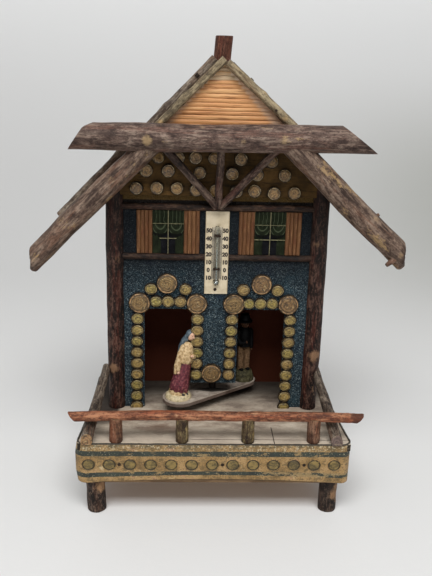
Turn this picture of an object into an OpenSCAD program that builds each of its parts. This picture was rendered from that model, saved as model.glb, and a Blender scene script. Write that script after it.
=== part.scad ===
// Rustic weather house: a twig and board chalet with two figures on a turntable hung from a gut.
// Sizes are in millimetres. +X is right, +Y is away from the front, +Z is up.
// The origin is on the table under the middle of the platform, and y = 0 is the front wall's face.

/* [Platform] */
// Width of the platform over its band
platform_w = 187; // [180:1:220]
// Depth of the platform over its band
platform_d = 114; // [112:1:140]
// Height of the floor above the table
floor_z = 55.5; // [45:0.5:80]
// Thickness of the floor board
floor_t = 5; // [3:0.5:8]
// Height of the paper band round the platform
band_h = 30; // [20:0.5:36]
// Thickness of the band
band_t = 1.2; // [0.8:0.1:2]
// Height of the band's edge above the floor
band_lip = 0.5; // [0.2:0.1:1]
// Radius of the platform's upright corners
corner_r = 7; // [4:0.5:10]
// Thickness of the apron boards behind the band
apron_t = 3; // [2:0.5:5]
// Diameter of the twig feet
foot_d = 13; // [8:0.5:16]

/* [Railing] */
// Diameter of the front rail
rail_d = 7; // [4:0.2:8]
// Height of the front rail's axis above the floor
rail_h = 17.5; // [17:0.5:30]
// Length of the front rail past each side of the platform
rail_over = 5.5; // [0:0.5:12]
// Run of the slanted cut at each end of the front rail
rail_cut = 4; // [0:0.5:8]
// Diameter of the balusters
baluster_d = 8.4; // [5:0.2:12]
// Distance between the balusters' axes
baluster_pitch = 44.5; // [35:0.5:50]
// Diameter of the slanted side rails
side_rail_d = 8; // [5:0.2:9]
// Height of a side rail's axis above the floor at the post
side_rail_rise = 30; // [22:1:45]
// Distance of a side rail's foot from the platform's side
side_rail_in = 9.5; // [4.5:0.1:12]

/* [House] */
// Distance between the corner posts' axes across the house
post_span_x = 143.4; // [138:0.2:150]
// Distance between the corner posts' axes from front to back
post_span_y = 46; // [44:0.5:48]
// Diameter of the corner posts
post_d = 12; // [9:0.5:14]
// Distance of the front posts' axes behind the front wall's face
post_set = 1; // [0:0.1:2]
// Thickness of the wall boards
wall_t = 4; // [3:0.5:5]
// Height of the attic floor above the platform floor
attic_floor_h = 154; // [152:0.5:156]
// Thickness of the attic floor
attic_floor_t = 3; // [2:0.5:4]
// Diameter of the hole that the gut passes through the attic floor by
gut_hole_d = 6; // [4:0.5:10]

/* [Doors] */
// Width of a doorway
door_w = 33.6; // [30:0.2:36]
// Distance of a doorway's middle from the middle of the house
door_x = 33.3; // [32:0.1:36]
// Height of a doorway
door_h = 76.5; // [72:0.5:80]
// Height of the middle pier's foot above the floor
pier_gap = 19.5; // [17:0.5:24]

/* [Upper storey] */
// Diameter of the twigs split for the half-round mouldings
moulding_d = 4.6; // [3:0.2:6]
// Height of the lower moulding above the floor
lower_moulding_h = 113.6; // [111:0.2:118]
// Height of the upper moulding above the floor
upper_moulding_h = 150; // [146:0.2:152]
// Width of a window
window_w = 21.4; // [16:0.2:22]
// Distance of the left window's middle from the middle of the house
left_window_x = 33.8; // [32:0.1:36]
// Distance of the right window's middle from the middle of the house
right_window_x = 36.4; // [32:0.1:38]
// Thickness of a window's printed card
pane_t = 0.8; // [0.5:0.1:1.5]
// Width of a window bar
bar_w = 0.9; // [0.6:0.1:1.5]
// Thickness of a window bar
bar_t = 0.5; // [0.3:0.1:1]
// Width of a shutter
shutter_w = 10.8; // [8:0.1:11.4]
// Number of reeds in a shutter
shutter_reeds = 4; // [3:1:6]
// Width of a shutter's reed as a share of the reeds' spacing
shutter_reed_fill = 1.1; // [1.05:0.05:1.2]
// Thickness of the strip that a shutter's reeds are stuck to
shutter_back_t = 0.9; // [0.5:0.1:1.5]

/* [Twig slices] */
// Diameter of the small slices round the doors
small_slice_d = 8.1; // [7:0.1:8.6]
// Diameter of the large slices round the doors
large_slice_d = 14.3; // [12:0.1:15]
// Thickness of the slices
slice_t = 2.2; // [1.2:0.1:2.6]
// Gap left between neighbouring slices
slice_gap = 0.45; // [0.2:0.05:0.8]
// Diameter of the slices on the gable
gable_slice_d = 8.4; // [6:0.1:9.5]
// Distance between the gable's slices along a row
gable_pitch = 13.3; // [11:0.1:16]
// Distance between the gable's rows of slices
gable_row = 10.6; // [10:0.1:12]

/* [Gable] */
// Thickness of the gable panel
gable_t = 3; // [2:0.1:3.5]
// Height of the gable panel's lower edge above the floor
gable_h = 158.3; // [157:0.1:160]
// Overlap of the gable panel on the front wall behind it
gable_lap = 8; // [4:0.5:10]
// Thickness of the reeded attic panel
attic_panel_t = 2.5; // [1.5:0.1:4]
// Distance of the attic panel's face behind the roof's front edge
attic_panel_set = 2; // [1.8:0.1:4]
// Diameter of the split reeds on the attic panel
reed_d = 3; // [2:0.1:3.4]
// Distance between the reeds
reed_pitch = 3.1; // [3.05:0.05:4]

/* [Roof] */
// Height of the ridge above the attic floor
ridge_h = 97; // [92:0.5:104]
// Slope of the roof in degrees
roof_pitch = 45; // [44:0.5:46]
// Thickness of the roof boards
roof_t = 5; // [4:0.5:6]
// Distance of the eaves from the middle of the house
eave_reach = 105; // [98:0.5:118]
// Distance of the roof's front edge in front of the wall
roof_front = 18; // [16:0.5:22]
// Distance of the roof's rear edge behind the front wall's face
roof_back = 56; // [55:0.5:57]
// Diameter of the twig along the front edge of each roof board
verge_twig_d = 5; // [4:0.2:7]
// Distance of a verge twig's top from the middle of the house
verge_twig_top = 6; // [5:0.5:12]
// Distance that a verge twig stops short of the eave
verge_twig_short = 2; // [0:0.5:8]
// Distance of a verge twig from the roof's front edge
verge_twig_back = 0.3; // [0.2:0.1:3]
// Depth of the flat that seats a verge twig on its roof board
verge_twig_flat = 0.4; // [0.2:0.1:1]
// Depth of the three-cornered beam under the ridge
beam_depth = 18; // [15:0.5:22]

/* [Roof logs] */
// Diameter of the tie log
tie_d = 18.8; // [17.4:0.1:20]
// Height of the ridge above the tie log's axis
tie_h = 52.3; // [49:0.1:55]
// Length of the tie log along its underside
tie_len = 196; // [170:1:220]
// Run of the slanted cut at the tie log's left end
tie_cut_left = 13; // [0:0.5:25]
// Run of the slanted cut at the tie log's right end
tie_cut_right = 22; // [0:0.5:25]
// Diameter of the barge logs
barge_d = 16; // [13:0.1:16.5]
// Distance of the barge logs' tips from the middle of the house
barge_reach = 125; // [118:0.5:135]
// Depth of the barge logs' axes below the roof's upper face
barge_drop = 6.7; // [5.5:0.1:8]
// Diameter of the thin twigs along the upper gable
twig_d = 6; // [4:0.1:6.4]
// Diameter of the struts under the tie log
strut_d = 5.4; // [4:0.1:6]
// Distance that a slanted strut would reach from the middle at the tie log's axis
strut_spread = 41.5; // [34:0.5:43]
// Depth that a strut's foot is hollowed over the moulding
strut_seat = 0.5; // [0.2:0.1:0.8]

/* [Chimney] */
// Diameter of the chimney
chimney_d = 12.4; // [10.6:0.1:13.4]
// Height of the chimney above the ridge
chimney_h = 10.5; // [6:0.5:20]
// Depth of the chimney's seat below the underside of the ridge
chimney_seat = 7.5; // [7:0.1:9]
// Diameter of the spindle under the chimney
spindle_d = 8; // [6:0.1:8.4]
// Length of the spindle in the chimney
spindle_tenon = 12; // [8:0.5:14]
// Length of the spindle below the ridge beam
spindle_below = 5; // [2:0.5:10]
// Gap all round a piece that turns in a bore
turn_gap = 0.05; // [0.02:0.01:0.1]
// Gap under the chimney's shoulder
seat_gap = 0.1; // [0.05:0.01:0.3]

/* [Turntable] */
// Distance of the hanging gut behind the front wall's face
pivot_y = 12; // [11.6:0.1:12.6]
// Distance of each figure from the gut
arm_len = 29.3; // [28.8:0.1:30.4]
// Angle of the turntable to the front wall at rest in degrees
rest_turn = 33.9; // [30:0.1:38]
// Thickness of the turntable board
table_t = 3; // [2:0.1:3.5]
// Height of the turntable board's underside above the floor
table_lift = 7.5; // [5:0.1:8]
// Radius of the turntable's end under the woman
woman_end_r = 12.5; // [10.6:0.1:13]
// Radius of the turntable's end under the man
man_end_r = 9.5; // [9:0.1:12]
// Diameter of the wooden stem that carries the turntable
stem_d = 5; // [4:0.1:6]
// Diameter of the stem's tenon in the board
tenon_d = 3.75; // [3:0.05:3.9]
// Height of the stem above the board
stem_h = 38; // [25:0.5:60]
// Diameter of the twisted gut
gut_d = 1; // [0.8:0.1:1.4]
// Length of gut held in the stem and in the spindle
gut_grip = 9; // [5:0.5:9]

/* [Woman] */
// Radius of the ground that the woman stands on
woman_ground_r = 9.6; // [8.4:0.1:10.4]
// Radius of the skirt's hem
skirt_r = 7.4; // [6.5:0.1:7.6]
// Radius of the waist
woman_waist_r = 4.9; // [4:0.1:5.4]
// Height of the waist above the ground
woman_waist_h = 21; // [18:0.5:23]
// Radius of the shawl at the elbows
shawl_r = 6.2; // [5.6:0.1:6.4]
// Height of the shoulders above the ground
woman_shoulder_h = 36; // [33:0.5:38]
// Diameter of the head in its scarf
scarf_d = 9.6; // [8:0.1:10]
// Diameter of the woman's sleeves
sleeve_d = 3.4; // [2.8:0.1:4]
// Lean of the woman towards the front in degrees
lean_front = 4; // [0:0.5:5]
// Lean of the woman towards the middle in degrees
lean_side = 5; // [0:0.5:6]

/* [Man] */
// Radius of the ground that the man stands on
man_ground_r = 8.6; // [7.6:0.1:8.8]
// Radius of a trouser leg
leg_r = 2.7; // [2.2:0.1:3]
// Height of the trousers above the ground
leg_h = 18; // [14:0.5:20]
// Radius of the jacket's skirt
jacket_r = 5.8; // [5.2:0.1:6.2]
// Height of the shoulders above the ground
man_shoulder_h = 33; // [30:0.5:35]
// Diameter of the man's sleeves
arm_d = 3.6; // [3:0.1:4]
// Diameter of the man's head
man_head_d = 8; // [7:0.1:9]
// Radius of the hat's brim
brim_r = 6; // [5:0.1:6.4]
// Height of the hat
hat_h = 7; // [5:0.1:9]

/* [Ground] */
// Height of the ground under both figures
ground_h = 4; // [2.5:0.1:4.6]

/* [Thermometer] */
// Width of the scale plate
plate_w = 16.2; // [13:0.1:16.4]
// Height of the scale plate
plate_h = 59; // [52:0.5:60]
// Thickness of the scale plate
plate_t = 1.2; // [1.1:0.1:1.8]
// Outer diameter of the glass tube
tube_d = 2.6; // [2:0.1:3.2]
// Diameter of the tube's bore
tube_bore_d = 0.9; // [0.6:0.1:1.2]
// Diameter of the bulb
bulb_d = 4.4; // [3.8:0.1:4.6]
// Thickness of the bulb's glass
bulb_wall = 0.5; // [0.3:0.1:0.8]
// Height of the bulb's middle above the plate's lower edge
bulb_h = 8.5; // [7:0.1:10]
// Distance of the tube's top below the plate's upper edge
tube_top_in = 10; // [6:0.5:14]
// Length of the mercury above the bulb
column_h = 22; // [5:0.5:30]
// Gap between the mercury and the glass
column_gap = 0.05; // [0.03:0.01:0.1]
// Gap round the bulb in the plate's hole
bulb_gap = 0.2; // [0.1:0.05:0.4]
// Diameter of the wire clips
clip_d = 0.9; // [0.6:0.1:1.2]
// Height of the upper clip above the plate's lower edge
upper_clip_h = 42.5; // [38:0.5:46]
// Height of the lower clip above the plate's lower edge
lower_clip_h = 18.5; // [15:0.5:24]

/* [Tacks] */
// Diameter of a tack's head
tack_head_d = 2.2; // [1.6:0.1:3]
// Height of a tack's head
tack_head_h = 0.6; // [0.4:0.1:1]
// Diameter of a tack's shank
tack_d = 0.9; // [0.6:0.1:1.2]
// Length of a tack's shank
tack_len = 3.6; // [2.5:0.1:4]
// Gap round a tack's shank
tack_gap = 0.05; // [0.03:0.01:0.1]
// Distance between the tacks in the band
band_tack_pitch = 62.5; // [50:0.5:75]
// Height of the thermometer's tack above the plate's lower edge
plate_tack_h = 3.2; // [2:0.1:3.6]

/* [Hidden] */
$fn = 64;
// Clearance between fixed pieces that lie side by side
fit = 0.1;
// Length that cutting shapes run past what they cut
past = 1;
// Number of straight pieces in an outline's arc
arc_steps = 8;
// Part of the ground's height that a figure's soles sink into it
sole_share = 0.6;

// Levels and faces that several pieces share
half_w = platform_w / 2;
half_d = platform_d / 2;
band_top = floor_z + band_lip;
band_bottom = band_top - band_h;
floor_under = floor_z - floor_t;
foot_x = half_w - band_t - apron_t - foot_d / 2 - fit;
foot_y = half_d - band_t - apron_t - foot_d / 2 - fit;
rail_y = -(half_d - band_t - fit - max(baluster_d, rail_d) / 2);
rail_z = floor_z + rail_h;
post_x = post_span_x / 2;
rear_post_y = post_set + post_span_y;
gable_z = floor_z + gable_h;
wall_top = gable_z + gable_lap;
attic_floor_z = floor_z + attic_floor_h;
upper_moulding_z = floor_z + upper_moulding_h;
lower_moulding_z = floor_z + lower_moulding_h;
window_bottom = lower_moulding_z + moulding_d / 2 + fit;
window_top = upper_moulding_z - moulding_d / 2 - fit;
pier_half = door_x - door_w / 2;
door_top = floor_z + door_h;
ridge_z = attic_floor_z + ridge_h;
ridge_under = ridge_z - roof_t / cos(roof_pitch);
tie_z = ridge_z - tie_h;
tie_y = -(roof_front + tie_d / 2 + fit);
barge_y = -(roof_front + barge_d / 2 + fit);
twig_y = -(roof_front + twig_d / 2 + fit);
attic_face_y = -roof_front + attic_panel_set;
attic_bottom = tie_z - tie_d / 4;
beam_bottom = ridge_under - beam_depth;
seat_z = ridge_under - chimney_seat;
spindle_bottom = beam_bottom - spindle_below;
table_under = floor_z + table_lift;
table_top = table_under + table_t;
stem_top = table_top + stem_h;
woman_at = [-arm_len * cos(rest_turn), pivot_y - arm_len * sin(rest_turn), table_top];
man_at = [arm_len * cos(rest_turn), pivot_y + arm_len * sin(rest_turn), table_top];
plate_top = window_top - fit;
plate_bottom = plate_top - plate_h;
tube_y = -(plate_t + tube_d / 2);
bulb_z = plate_bottom + bulb_h;

function roof_z(x) = ridge_z - abs(x) * tan(roof_pitch);
function under_z(x) = ridge_under - abs(x) * tan(roof_pitch);
function arc(x, y, r, from, to) =
  [for (i = [0 : arc_steps]) let (a = from + (to - from) * i / arc_steps) [x + r * cos(a), y + r * sin(a)]];
function round_box(hx, hy, r) = concat(arc(hx - r, hy - r, r, 0, 90), arc(r - hx, hy - r, r, 90, 180),
  arc(r - hx, r - hy, r, 180, 270), arc(hx - r, r - hy, r, 270, 360));

// A round rod from point a to point b
module rod(a, b, d) {
  v = b - a;
  translate(a) rotate([0, acos(v[2] / norm(v)), atan2(v[1], v[0])]) cylinder(h = norm(v), d = d);
}

// An outline in X and Z carried along Y from y0 to y1
module slab(y0, y1) {
  translate([0, y1, 0]) rotate([90, 0, 0]) linear_extrude(y1 - y0) children();
}

// A rectangle in X and Z between two corners
module face(x0, z0, x1, z1) {
  translate([x0, z0]) square([x1 - x0, z1 - z0]);
}

// A disc that stands out to the front from the plane y
module disc(x, y, z, d, t) {
  translate([x, y, z]) rotate([90, 0, 0]) cylinder(h = t, d = d);
}

// The outline of everything below the roof boards
module house_outline() {
  polygon([[-eave_reach, 0], [eave_reach, 0], [eave_reach, under_z(eave_reach)],
    [0, ridge_under], [-eave_reach, under_z(eave_reach)]]);
}

module post_cuts() {
  for (x = [-post_x, post_x], y = [post_set, rear_post_y])
    translate([x, y, 0]) cylinder(h = ridge_z, d = post_d);
}

// A tack's head and shank, driven from the front into the plane y
module tack(x, y, z) {
  disc(x, y, z, tack_head_d, tack_head_h);
  translate([x, y, z]) rotate([-90, 0, 0]) cylinder(h = tack_len, d = tack_d);
}

// The hole for a tack's shank
module tack_hole(x, y, z) {
  translate([x, y - past, z]) rotate([-90, 0, 0])
    cylinder(h = tack_len + past, d = tack_d + 2 * tack_gap);
}

module at_band_tacks() {
  for (i = [-1 : 1]) translate([i * band_tack_pitch, 0, band_bottom + band_h / 2]) children();
}

module band_tack_holes() {
  at_band_tacks() tack_hole(0, -half_d, 0);
}

module plate_tack_hole() {
  tack_hole(0, -plate_t, plate_bottom + plate_tack_h);
}

// Platform
// The outline inside the band, in X and Y
module under_band() {
  polygon(round_box(half_w - band_t, half_d - band_t, corner_r - band_t));
}

module floor_board() {
  color("#7d7a72") translate([0, 0, floor_under]) linear_extrude(floor_t)
    under_band();
}

module edge_band() {
  color("#8c7a45") difference() {
    translate([0, 0, band_bottom]) linear_extrude(band_h) difference() {
      polygon(round_box(half_w, half_d, corner_r));
      under_band();
      translate([-fit, half_d - band_t - past]) square([2 * fit, band_t + 2 * past]);
    }
    band_tack_holes();
  }
}

module long_apron(side) {
  middle_y = side * (half_d - band_t - apron_t / 2);
  color("#6b5a40") difference() {
    translate([0, 0, band_bottom]) linear_extrude(floor_under - band_bottom) intersection() {
      under_band();
      translate([-half_w, middle_y - apron_t / 2]) square([platform_w, apron_t]);
    }
    band_tack_holes();
  }
}

module short_apron(side) {
  middle_x = side * (half_w - band_t - apron_t / 2);
  run = half_d - band_t - apron_t;
  color("#6b5a40") translate([0, 0, band_bottom]) linear_extrude(floor_under - band_bottom) intersection() {
    under_band();
    translate([middle_x - apron_t / 2, -run]) square([apron_t, 2 * run]);
  }
}

module front_apron() { long_apron(-1); }
module rear_apron() { long_apron(1); }
module left_apron() { short_apron(-1); }
module right_apron() { short_apron(1); }

module feet(y) {
  color("#4b3b30") for (x = [-foot_x, foot_x])
    translate([x, y, 0]) cylinder(h = floor_under, d = foot_d);
}

module front_feet() { feet(-foot_y); }
module rear_feet() { feet(foot_y); }

// Railing
module rail_core() {
  rod([-half_w - rail_over, rail_y, rail_z], [half_w + rail_over, rail_y, rail_z], rail_d);
}

module balusters() {
  color("#7a5038") difference() {
    for (i = [-1.5 : 1.5])
      translate([i * baluster_pitch, rail_y, floor_z]) cylinder(h = rail_h, d = baluster_d);
    rail_core();
  }
}

module front_rail() {
  reach = half_w + rail_over;
  slant = rail_cut / rail_d * past;
  color("#7a4a32") intersection() {
    rail_core();
    slab(rail_y - rail_d, rail_y + rail_d) polygon([
      [-reach - slant, rail_z + rail_d / 2 + past], [reach + slant, rail_z + rail_d / 2 + past],
      [reach - rail_cut - slant, rail_z - rail_d / 2 - past],
      [-reach + rail_cut + slant, rail_z - rail_d / 2 - past]]);
  }
}

module side_rail(side) {
  foot = [side * (half_w - side_rail_in), -half_d + past, band_top + side_rail_d / 3];
  head = [side * (post_x + post_d / 2), post_set, floor_z + side_rail_rise];
  color("#6a625a") difference() {
    rod(foot, head, side_rail_d);
    translate([-half_w, -platform_d, band_top - side_rail_d])
      cube([platform_w, 2 * platform_d, side_rail_d]);
    post_cuts();
  }
}

module left_side_rail() { side_rail(-1); }
module right_side_rail() { side_rail(1); }

// House walls and posts
module post(side, y) {
  color("#3d2a22") intersection() {
    translate([side * post_x, y, floor_z]) cylinder(h = ridge_z - floor_z, d = post_d);
    slab(y - post_d, y + post_d) house_outline();
  }
}

module left_front_post() { post(-1, post_set); }
module right_front_post() { post(1, post_set); }
module left_rear_post() { post(-1, rear_post_y); }
module right_rear_post() { post(1, rear_post_y); }

module front_wall() {
  color("#33485c") difference() {
    slab(0, wall_t) difference() {
      intersection() {
        house_outline();
        face(-post_x, floor_z, post_x, wall_top);
      }
      for (s = [-1, 1])
        face(s * door_x - door_w / 2, floor_z - past, s * door_x + door_w / 2, door_top);
      face(-door_x, floor_z - past, door_x, floor_z + pier_gap);
    }
    post_cuts();
    plate_tack_hole();
  }
}

module side_wall(side) {
  color("#33485c") difference() {
    slab(post_set, rear_post_y) intersection() {
      house_outline();
      face(side * post_x - wall_t / 2, floor_z, side * post_x + wall_t / 2, ridge_z);
    }
    post_cuts();
  }
}

module left_wall() { side_wall(-1); }
module right_wall() { side_wall(1); }

module rear_wall() {
  color("#5a4433") difference() {
    slab(rear_post_y - wall_t / 2, rear_post_y + wall_t / 2) intersection() {
      house_outline();
      face(-post_x, floor_z, post_x, ridge_z);
    }
    post_cuts();
  }
}

module attic_floor() {
  inner_x = post_x - wall_t / 2;
  color("#5a4433") difference() {
    translate([-inner_x, wall_t, attic_floor_z])
      cube([2 * inner_x, rear_post_y - 1.5 * wall_t, attic_floor_t]);
    post_cuts();
    translate([0, pivot_y, attic_floor_z - past]) cylinder(h = attic_floor_t + 2 * past, d = gut_hole_d);
  }
}

// Upper storey
module moulding_core(z) {
  rod([-post_x, 0, z], [post_x, 0, z], moulding_d);
}

module moulding(z, x0, x1) {
  color("#4a3626") difference() {
    intersection() {
      moulding_core(z);
      slab(-moulding_d, 0) face(x0, z - moulding_d, x1, z + moulding_d);
    }
    post_cuts();
  }
}

module upper_moulding() { moulding(upper_moulding_z, -post_x, post_x); }
module left_lower_moulding() { moulding(lower_moulding_z, -post_x, -plate_w / 2 - fit); }
module right_lower_moulding() { moulding(lower_moulding_z, plate_w / 2 + fit, post_x); }

module window_card(x) {
  color("#3f5a40") slab(-pane_t, 0)
    face(x - window_w / 2, window_bottom, x + window_w / 2, window_top);
}

module left_window() { window_card(-left_window_x); }
module right_window() { window_card(right_window_x); }

module window_bars() {
  rise = window_top - window_bottom;
  color("#c9bd97") for (x = [-left_window_x, right_window_x]) slab(-pane_t - bar_t, -pane_t) {
    face(x - bar_w / 2, window_bottom, x + bar_w / 2, window_top);
    for (k = [1, 2]) translate([0, k * rise / 3])
      face(x - window_w / 2, window_bottom, x + window_w / 2, window_bottom + bar_w);
  }
}

module shutter(x) {
  pitch = shutter_w / shutter_reeds;
  reed = pitch * shutter_reed_fill;
  color("#a5683a") union() {
    slab(-shutter_back_t, 0) face(x - shutter_w / 2, window_bottom, x + shutter_w / 2, window_top);
    intersection() {
      slab(-shutter_back_t - reed, -shutter_back_t / 2)
        face(x - shutter_w / 2, window_bottom, x + shutter_w / 2, window_top);
      for (i = [0 : shutter_reeds - 1])
        translate([x + (i - (shutter_reeds - 1) / 2) * pitch, -shutter_back_t, window_bottom])
          cylinder(h = window_top - window_bottom, d = reed);
    }
  }
}

module shutter_pair(x) {
  for (s = [-1, 1]) shutter(x + s * (window_w + shutter_w + 2 * fit) / 2);
}

module left_shutters() { shutter_pair(-left_window_x); }
module right_shutters() { shutter_pair(right_window_x); }

// Twig slices round the doors
slice_step = small_slice_d + slice_gap;
corner_step = (small_slice_d + large_slice_d) / 2 + slice_gap;
row_z = door_top + slice_gap + small_slice_d / 2;
column_off = door_w / 2 + slice_gap + small_slice_d / 2;
row_count = floor((2 * column_off - large_slice_d - slice_gap) / slice_step);
outer_count = floor((row_z - corner_step - floor_z) / slice_step) + 1;
inner_count = floor((row_z - corner_step - small_slice_d / 2 - floor_z - pier_gap) / slice_step) + 1;

module small_slice(x, z) { disc(x, 0, z, small_slice_d, slice_t); }

module door_slices(side) {
  color("#a88b4a") difference() {
    union() {
      for (k = [0 : outer_count - 1])
        small_slice(side * (door_x + column_off), row_z - corner_step - k * slice_step);
      for (k = [0 : inner_count - 1])
        small_slice(side * (door_x - column_off), row_z - corner_step - k * slice_step);
      for (k = [0 : row_count - 1])
        small_slice(side * door_x + (k - (row_count - 1) / 2) * slice_step, row_z);
      for (s = [-1, 1])
        small_slice(side * door_x + s * (corner_step + slice_gap), row_z + slice_step + slice_gap);
    }
    translate([-post_x, -slice_t - past, floor_under]) cube([2 * post_x, slice_t + 2 * past, floor_t]);
  }
}

module left_door_slices() { door_slices(-1); }
module right_door_slices() { door_slices(1); }

module large_slices() {
  pier_slice_d = 2 * (pier_half - small_slice_d - 3 * slice_gap);
  color("#a88b4a") {
    for (s = [-1, 1]) {
      for (c = [-1, 1]) disc(s * door_x + c * column_off, 0, row_z, large_slice_d, slice_t);
      disc(s * door_x, 0, row_z + corner_step, large_slice_d, slice_t);
    }
    disc(0, 0, floor_z + pier_gap + slice_gap + pier_slice_d / 2, pier_slice_d, slice_t);
  }
}

// Gable
module gable_panel() {
  color("#6d5836") difference() {
    slab(-gable_t, 0) intersection() {
      house_outline();
      face(-post_x, gable_z, post_x, tie_z);
    }
    post_cuts();
  }
}

module gable_slices() {
  edge = gable_slice_d / 2 + slice_gap;
  rows = floor((tie_z - gable_z - 2 * edge) / gable_row);
  side_count = ceil(post_x / gable_pitch);
  color("#b59a5c") for (r = [0 : rows], i = [-side_count : side_count]) {
    x = (i + (r % 2) / 2) * gable_pitch;
    z = gable_z + edge + r * gable_row;
    if (abs(x) + edge < post_x - post_d / 2 && under_z(x) - z > edge / cos(roof_pitch))
      disc(x, -gable_t, z, gable_slice_d, slice_t);
  }
}

strut_foot_y = -(moulding_d + strut_d) / 2 + strut_seat;

module strut_core(x) {
  rod([0, strut_foot_y, upper_moulding_z], [x, tie_y + tie_d / 5, tie_z], strut_d);
}

module tie_core() {
  rod([-tie_len, tie_y, tie_z], [tie_len, tie_y, tie_z], tie_d);
}

// A flat-sided cut that just clears a round rod, for the pieces that are whittled to fit against it
whittle_sides = 12;
function whittle(d) = d / cos(180 / whittle_sides);

module tie_cut() {
  rod([-tie_len, tie_y, tie_z], [tie_len, tie_y, tie_z], whittle(tie_d), $fn = whittle_sides);
}

module moulding_cut() {
  rod([-post_x, 0, upper_moulding_z], [post_x, 0, upper_moulding_z],
    whittle(moulding_d), $fn = whittle_sides);
}

module king_strut() {
  color("#4a3a30") difference() {
    strut_core(0);
    tie_cut();
    moulding_cut();
  }
}

module side_strut(side) {
  flank = strut_d / 2 + fit;
  color("#4a3a30") difference() {
    strut_core(side * strut_spread);
    slab(tie_y, 0) face(min(-side * strut_spread, side * flank), lower_moulding_z,
      max(-side * strut_spread, side * flank), tie_z);
    tie_cut();
    moulding_cut();
  }
}

module left_strut() { side_strut(-1); }
module right_strut() { side_strut(1); }

// Roof logs
module tie_log() {
  low = tie_z - tie_d / 2;
  left_slant = tie_cut_left / tie_d * past;
  right_slant = tie_cut_right / tie_d * past;
  color("#4d3d36") intersection() {
    tie_core();
    slab(tie_y - tie_d, tie_y + tie_d) polygon([
      [-tie_len / 2 - left_slant, low - past], [tie_len / 2 + right_slant, low - past],
      [tie_len / 2 - tie_cut_right - right_slant, low + tie_d + past],
      [-tie_len / 2 + tie_cut_left + left_slant, low + tie_d + past]]);
  }
}

module barge_log(side) {
  drop = barge_drop / cos(roof_pitch);
  top_x = (ridge_z - drop - tie_z) / tan(roof_pitch);
  low_x = barge_reach + barge_d;
  color("#4d3d36") difference() {
    intersection() {
      rod([side * top_x, barge_y, tie_z], [side * low_x, barge_y, roof_z(low_x) - drop], barge_d);
      slab(barge_y - barge_d, barge_y + barge_d)
        face(min(0, side * barge_reach), floor_z, max(0, side * barge_reach), ridge_z);
    }
    tie_cut();
  }
}

module left_barge_log() { barge_log(-1); }
module right_barge_log() { barge_log(1); }

module gable_twig(side) {
  drop = twig_d / 2 / cos(roof_pitch);
  top_x = (ridge_z - drop - tie_z) / tan(roof_pitch);
  color("#7d7163") difference() {
    intersection() {
      rod([side * top_x, twig_y, tie_z],
        [-side * twig_d, twig_y, ridge_z + twig_d * tan(roof_pitch) - drop], twig_d);
      slab(twig_y - twig_d, twig_y + twig_d)
        face(min(0, side * eave_reach), floor_z, max(0, side * eave_reach), ridge_z);
    }
    tie_cut();
  }
}

module left_gable_twig() { gable_twig(-1); }
module right_gable_twig() { gable_twig(1); }

// A three-cornered outline under the ridge, down to the level z
module ridge_corner(z) {
  reach = (ridge_under - z) / tan(roof_pitch);
  polygon([[0, ridge_under], [-reach, z], [reach, z]]);
}

module attic_panel() {
  color("#9a6a3a") slab(attic_face_y, attic_face_y + attic_panel_t) ridge_corner(attic_bottom);
}

module attic_reeds() {
  count = floor((ridge_under - attic_bottom) / reed_pitch) - 2;
  color("#c98d52") for (i = [0 : count - 1]) {
    z = attic_bottom + reed_d / 2 + i * reed_pitch;
    reach = (ridge_under - z - reed_d / 2) / tan(roof_pitch) - fit;
    intersection() {
      rod([-reach, attic_face_y, z], [reach, attic_face_y, z], reed_d);
      slab(attic_face_y - reed_d, attic_face_y)
        face(-reach - past, z - reed_d, reach + past, z + reed_d);
    }
  }
}

// Roof
module roof_outline(side) {
  polygon([[0, ridge_z], [side * eave_reach, roof_z(eave_reach)],
    [side * (eave_reach - roof_t * sin(roof_pitch)), roof_z(eave_reach) - roof_t * cos(roof_pitch)],
    [0, ridge_under]]);
}

module chimney_bore() {
  translate([0, pivot_y, seat_z]) cylinder(h = ridge_z - seat_z + past, d = chimney_d + 2 * turn_gap);
}

module roof_board(side) {
  color("#77726a") difference() {
    slab(-roof_front, roof_back) roof_outline(side);
    chimney_bore();
  }
}

module left_roof_board() { roof_board(-1); }
module right_roof_board() { roof_board(1); }

module verge_twigs() {
  rise = (verge_twig_d / 2 - verge_twig_flat) / cos(roof_pitch);
  y = verge_twig_back + verge_twig_d / 2 - roof_front;
  foot_x = eave_reach - verge_twig_short;
  color("#6b5f54") for (s = [-1, 1]) difference() {
    rod([s * verge_twig_top, y, roof_z(verge_twig_top) + rise],
      [s * foot_x, y, roof_z(foot_x) + rise], verge_twig_d);
    slab(-roof_front - past, roof_back + past) roof_outline(s);
  }
}

module ridge_beam() {
  front = attic_face_y + attic_panel_t;
  color("#6b5a40") difference() {
    slab(front, rear_post_y - wall_t / 2) ridge_corner(beam_bottom);
    chimney_bore();
    translate([0, pivot_y, beam_bottom - past])
      cylinder(h = beam_depth + past, d = spindle_d + 2 * turn_gap);
  }
}

// Thermometer
module scale_plate() {
  color("#d8cfae") difference() {
    slab(-plate_t, 0) face(-plate_w / 2, plate_bottom, plate_w / 2, plate_top);
    disc(0, past, bulb_z, bulb_d + 2 * bulb_gap, plate_t + 2 * past);
    plate_tack_hole();
  }
}

module glass_tube() {
  top = plate_top - tube_top_in;
  color("#cfd6d2") difference() {
    union() {
      translate([0, tube_y, bulb_z]) cylinder(h = top - bulb_z, d = tube_d);
      translate([0, tube_y, bulb_z]) sphere(d = bulb_d);
    }
    translate([0, tube_y, bulb_z]) cylinder(h = top - bulb_z - tube_d, d = tube_bore_d);
    translate([0, tube_y, bulb_z]) sphere(d = bulb_d - 2 * bulb_wall);
  }
}

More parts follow.
